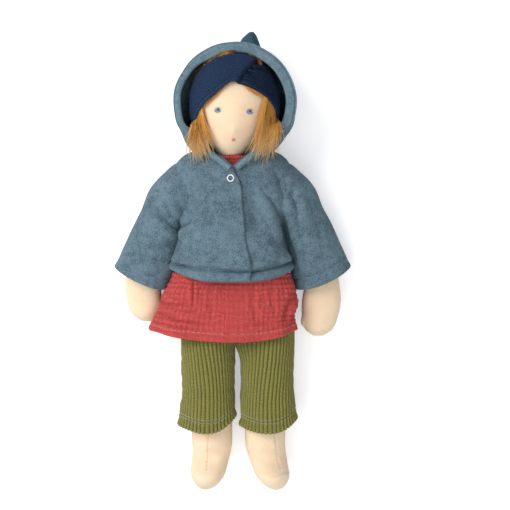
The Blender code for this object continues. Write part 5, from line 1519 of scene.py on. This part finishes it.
def edge_place(degrees, below, out):
    """A point by the band's lower edge, some metres below it."""
    return round_head(np.radians(degrees), band_edge(degrees) - below, out)


# %% Hair: the cap, side tufts, fringe and crown
polar, angle = round_grid(np.linspace(0.02, 2.35, 90), 120)
points = head_surface(polar, angle, 0.0011)
axis_rise = (points - np.array(HEAD)) @ np.array([0, math.cos(TILT), -math.sin(TILT)])
keep = np.minimum(axis_rise + 0.0080, 0)
points = points - (points - np.array(HEAD)) * np.clip(-keep / 0.004, 0, 1)[..., None] * 0.05
worn(stuffed("wig_base", points, wig_base), "head", "wig_cap")

right_tuft = tuft("tuft_right_side", ((-26.0, 131.0), (-23.4, 121), (-21.6, 111), (-19.6, 101), (-18.6, 91.0)),
                  ((-32.5, 120), (-33.8, 113), (-34.6, 104), (-34.4, 96), (-31.0, 85.0)), 26, 24, 101, tone=0.66)
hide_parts("hair_right")
left_tuft = tuft("tuft_left_side", ((29.5, 139.5), (27.3, 131), (24.3, 119), (22.3, 107), (18.3, 95), (15.0, 87.0)),
                 ((36.5, 128), (38.5, 119), (38.0, 109), (35.0, 99), (32.2, 86.0)), 28, 24, 102, tone=0.80)
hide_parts("hair_left")
wisps = tuft("wisps", ((34, 121), (38, 117), (42, 115.6)), ((33, 116), (39, 109), (43.5, 104)), 5, 9, 103,
             0.0040, (0.8, 1), 0.0015, 0.8)

chance = np.random.default_rng(104)
share = np.linspace(0, 1, POINTS)
paths, tones = [], []
# From and to in degrees round the head, number of strands, and how far they hang below the band
FRINGE = ((4, 46, 150, 0.0036), (38, 70, 90, 0.0050), (-6, -52, 90, 0.0022), (-46, -78, 70, 0.0034))
for start, end, count, wide in FRINGE:
    for _ in range(count):
        first = start + (end - start) * chance.uniform(0, 0.72)
        turns = first + (end - start) * chance.uniform(0.22, 0.36) * share
        lower = chance.uniform(-0.4, 1.0) * wide * (0.25 + 0.75 * share) * np.clip(np.abs(turns - start) / 20, 0.25, 1)
        paths.append(edge_place(turns, lower - 0.0006, 0.0009 + chance.uniform(0, 0.0008)))
        tones.append(np.clip(0.72 + chance.normal() * 0.2, 0, 1))
fringe = strands("fringe", paths, 0.00016, tones)

paths, tones = [], []
for lock in range(46):
    first, shade = chance.uniform(-78, 38), np.clip(0.25 + chance.normal() * 0.28, 0, 1)
    drift = chance.uniform(-14, 14)
    for _ in range(9):
        turns = np.radians(first + chance.normal() * 1.6 + drift * share)
        rise = 0.0135 + (0.0210 + chance.uniform(-0.004, 0.002)) * share
        out = 0.0014 + 0.0034 * np.sin(np.pi * (0.1 + 0.65 * share)) + chance.uniform(0, 0.0012)
        paths.append(round_head(turns, rise, out))
        tones.append(np.clip(shade + chance.normal() * 0.1, 0, 1))
crown = strands("crown_hair", paths, 0.00022, tones)
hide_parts("hair_top")

paths, tones = [], []
for lock in range(60):
    first = chance.uniform(95, 265)
    shade = np.clip(0.45 + chance.normal() * 0.2, 0, 1)
    for _ in range(8):
        turns = np.radians(first + chance.normal() * 1.8 + chance.normal() * 2 * share)
        lower = -0.0030 + (0.0170 + chance.uniform(-0.002, 0.004)) * share
        degrees = np.degrees(turns) - 360 * (turns > math.pi)
        paths.append(edge_place(degrees, lower, 0.0012 + 0.0012 * np.sin(np.pi * share)))
        tones.append(np.clip(shade + chance.normal() * 0.12, 0, 1))
nape = strands("nape_hair", paths, 0.00024, tones)
hair = (left_tuft, right_tuft, wisps, fringe, crown, nape)
print("hair:", sum(len(piece.data.vertices) for piece in hair) // (POINTS * 4), "strands")

# %% [markdown]
# ## Under the clothes, and the snap
#
# The jersey body and its tied neck are hidden at rest but show when the jacket opens or
# the head nods. The snap's white ring sits on the upper front, its socket inside it, and
# its stud on the lower front.

# %% Body, neck and snap
y, angle = round_grid(np.linspace(NECK_Y, NECK_Y - TORSO_LENGTH, 90), 120)
torso = worn(stuffed("visible_torso", body(y, angle, 0.0), jersey_skin), "torso", "torso", slot="jersey_skin")

NECK_RADIUS = 0.0090
TIED_Y = 0.0870  # where the string is tied
y, angle = round_grid(np.linspace(0.0700, 0.1000, 40), 60)
gathers = 0.0003 * np.sin(14 * angle) * hill(y - TIED_Y, 0.003)
radius = NECK_RADIUS - 0.0002 - 0.0004 * hill(y - TIED_Y, 0.0012) + gathers
rings = np.stack([HEAD.x + radius * np.cos(angle), y, HEAD.z + radius * np.sin(angle)], -1)
worn(stuffed("visible_neck", rings, jersey_skin), "neck", "neck_core")
turn = np.linspace(0, 2 * math.pi * 3, 150)
wound = np.stack([HEAD.x + 0.0092 * np.cos(turn), 0.0858 + 0.0011 * turn / 6.283, HEAD.z + 0.0092 * np.sin(turn)], -1)
worn(threads("tied_string", [wound], 0.00052, string_white, 8), "neck", "neck_string")

SNAP = (-0.0011, 0.0705, 0.0674)
# Each piece is turned about the upright: name, body, node, and (radius, height) places in mm
SNAP_PIECES = (
    ("snap_ring", "right_front", "snap_cap_ring",
     ((2.10, -0.6), (2.10, 0.3), (2.18, 0.65), (2.36, 0.85), (2.60, 0.92), (2.84, 0.85), (3.02, 0.65), (3.10, 0.3),
      (3.10, -0.6), (2.9, -0.9), (2.3, -0.9), (2.10, -0.6))),
    ("snap_socket_ring", "right_front", "snap_socket",
     ((1.25, -2.6), (1.25, -3.6), (1.5, -3.9), (2.0, -3.9), (2.3, -3.6), (2.3, -2.6))),
    ("snap_post", "torso", "snap_stud",
     ((0.05, -1.5), (0.6, -1.5), (1.0, -1.8), (1.05, -2.2), (0.85, -2.6), (0.9, -3.0), (2.3, -3.1), (2.4, -3.5),
      (0.05, -3.5))))
for name, carrier, node_name, profile in SNAP_PIECES:
    rows, angle = np.array(profile) / 1000, np.linspace(0, 2 * math.pi, 48, endpoint=False)
    rings = np.stack([SNAP[0] + rows[:, :1] * np.cos(angle), SNAP[1] + rows[:, :1] * np.sin(angle),
                      SNAP[2] + rows[:, 1:] + 0 * angle], axis=-1)
    worn(stuffed(name, rings, snap_white), carrier, node_name, slot="snap_white")
print("body, neck and snap")
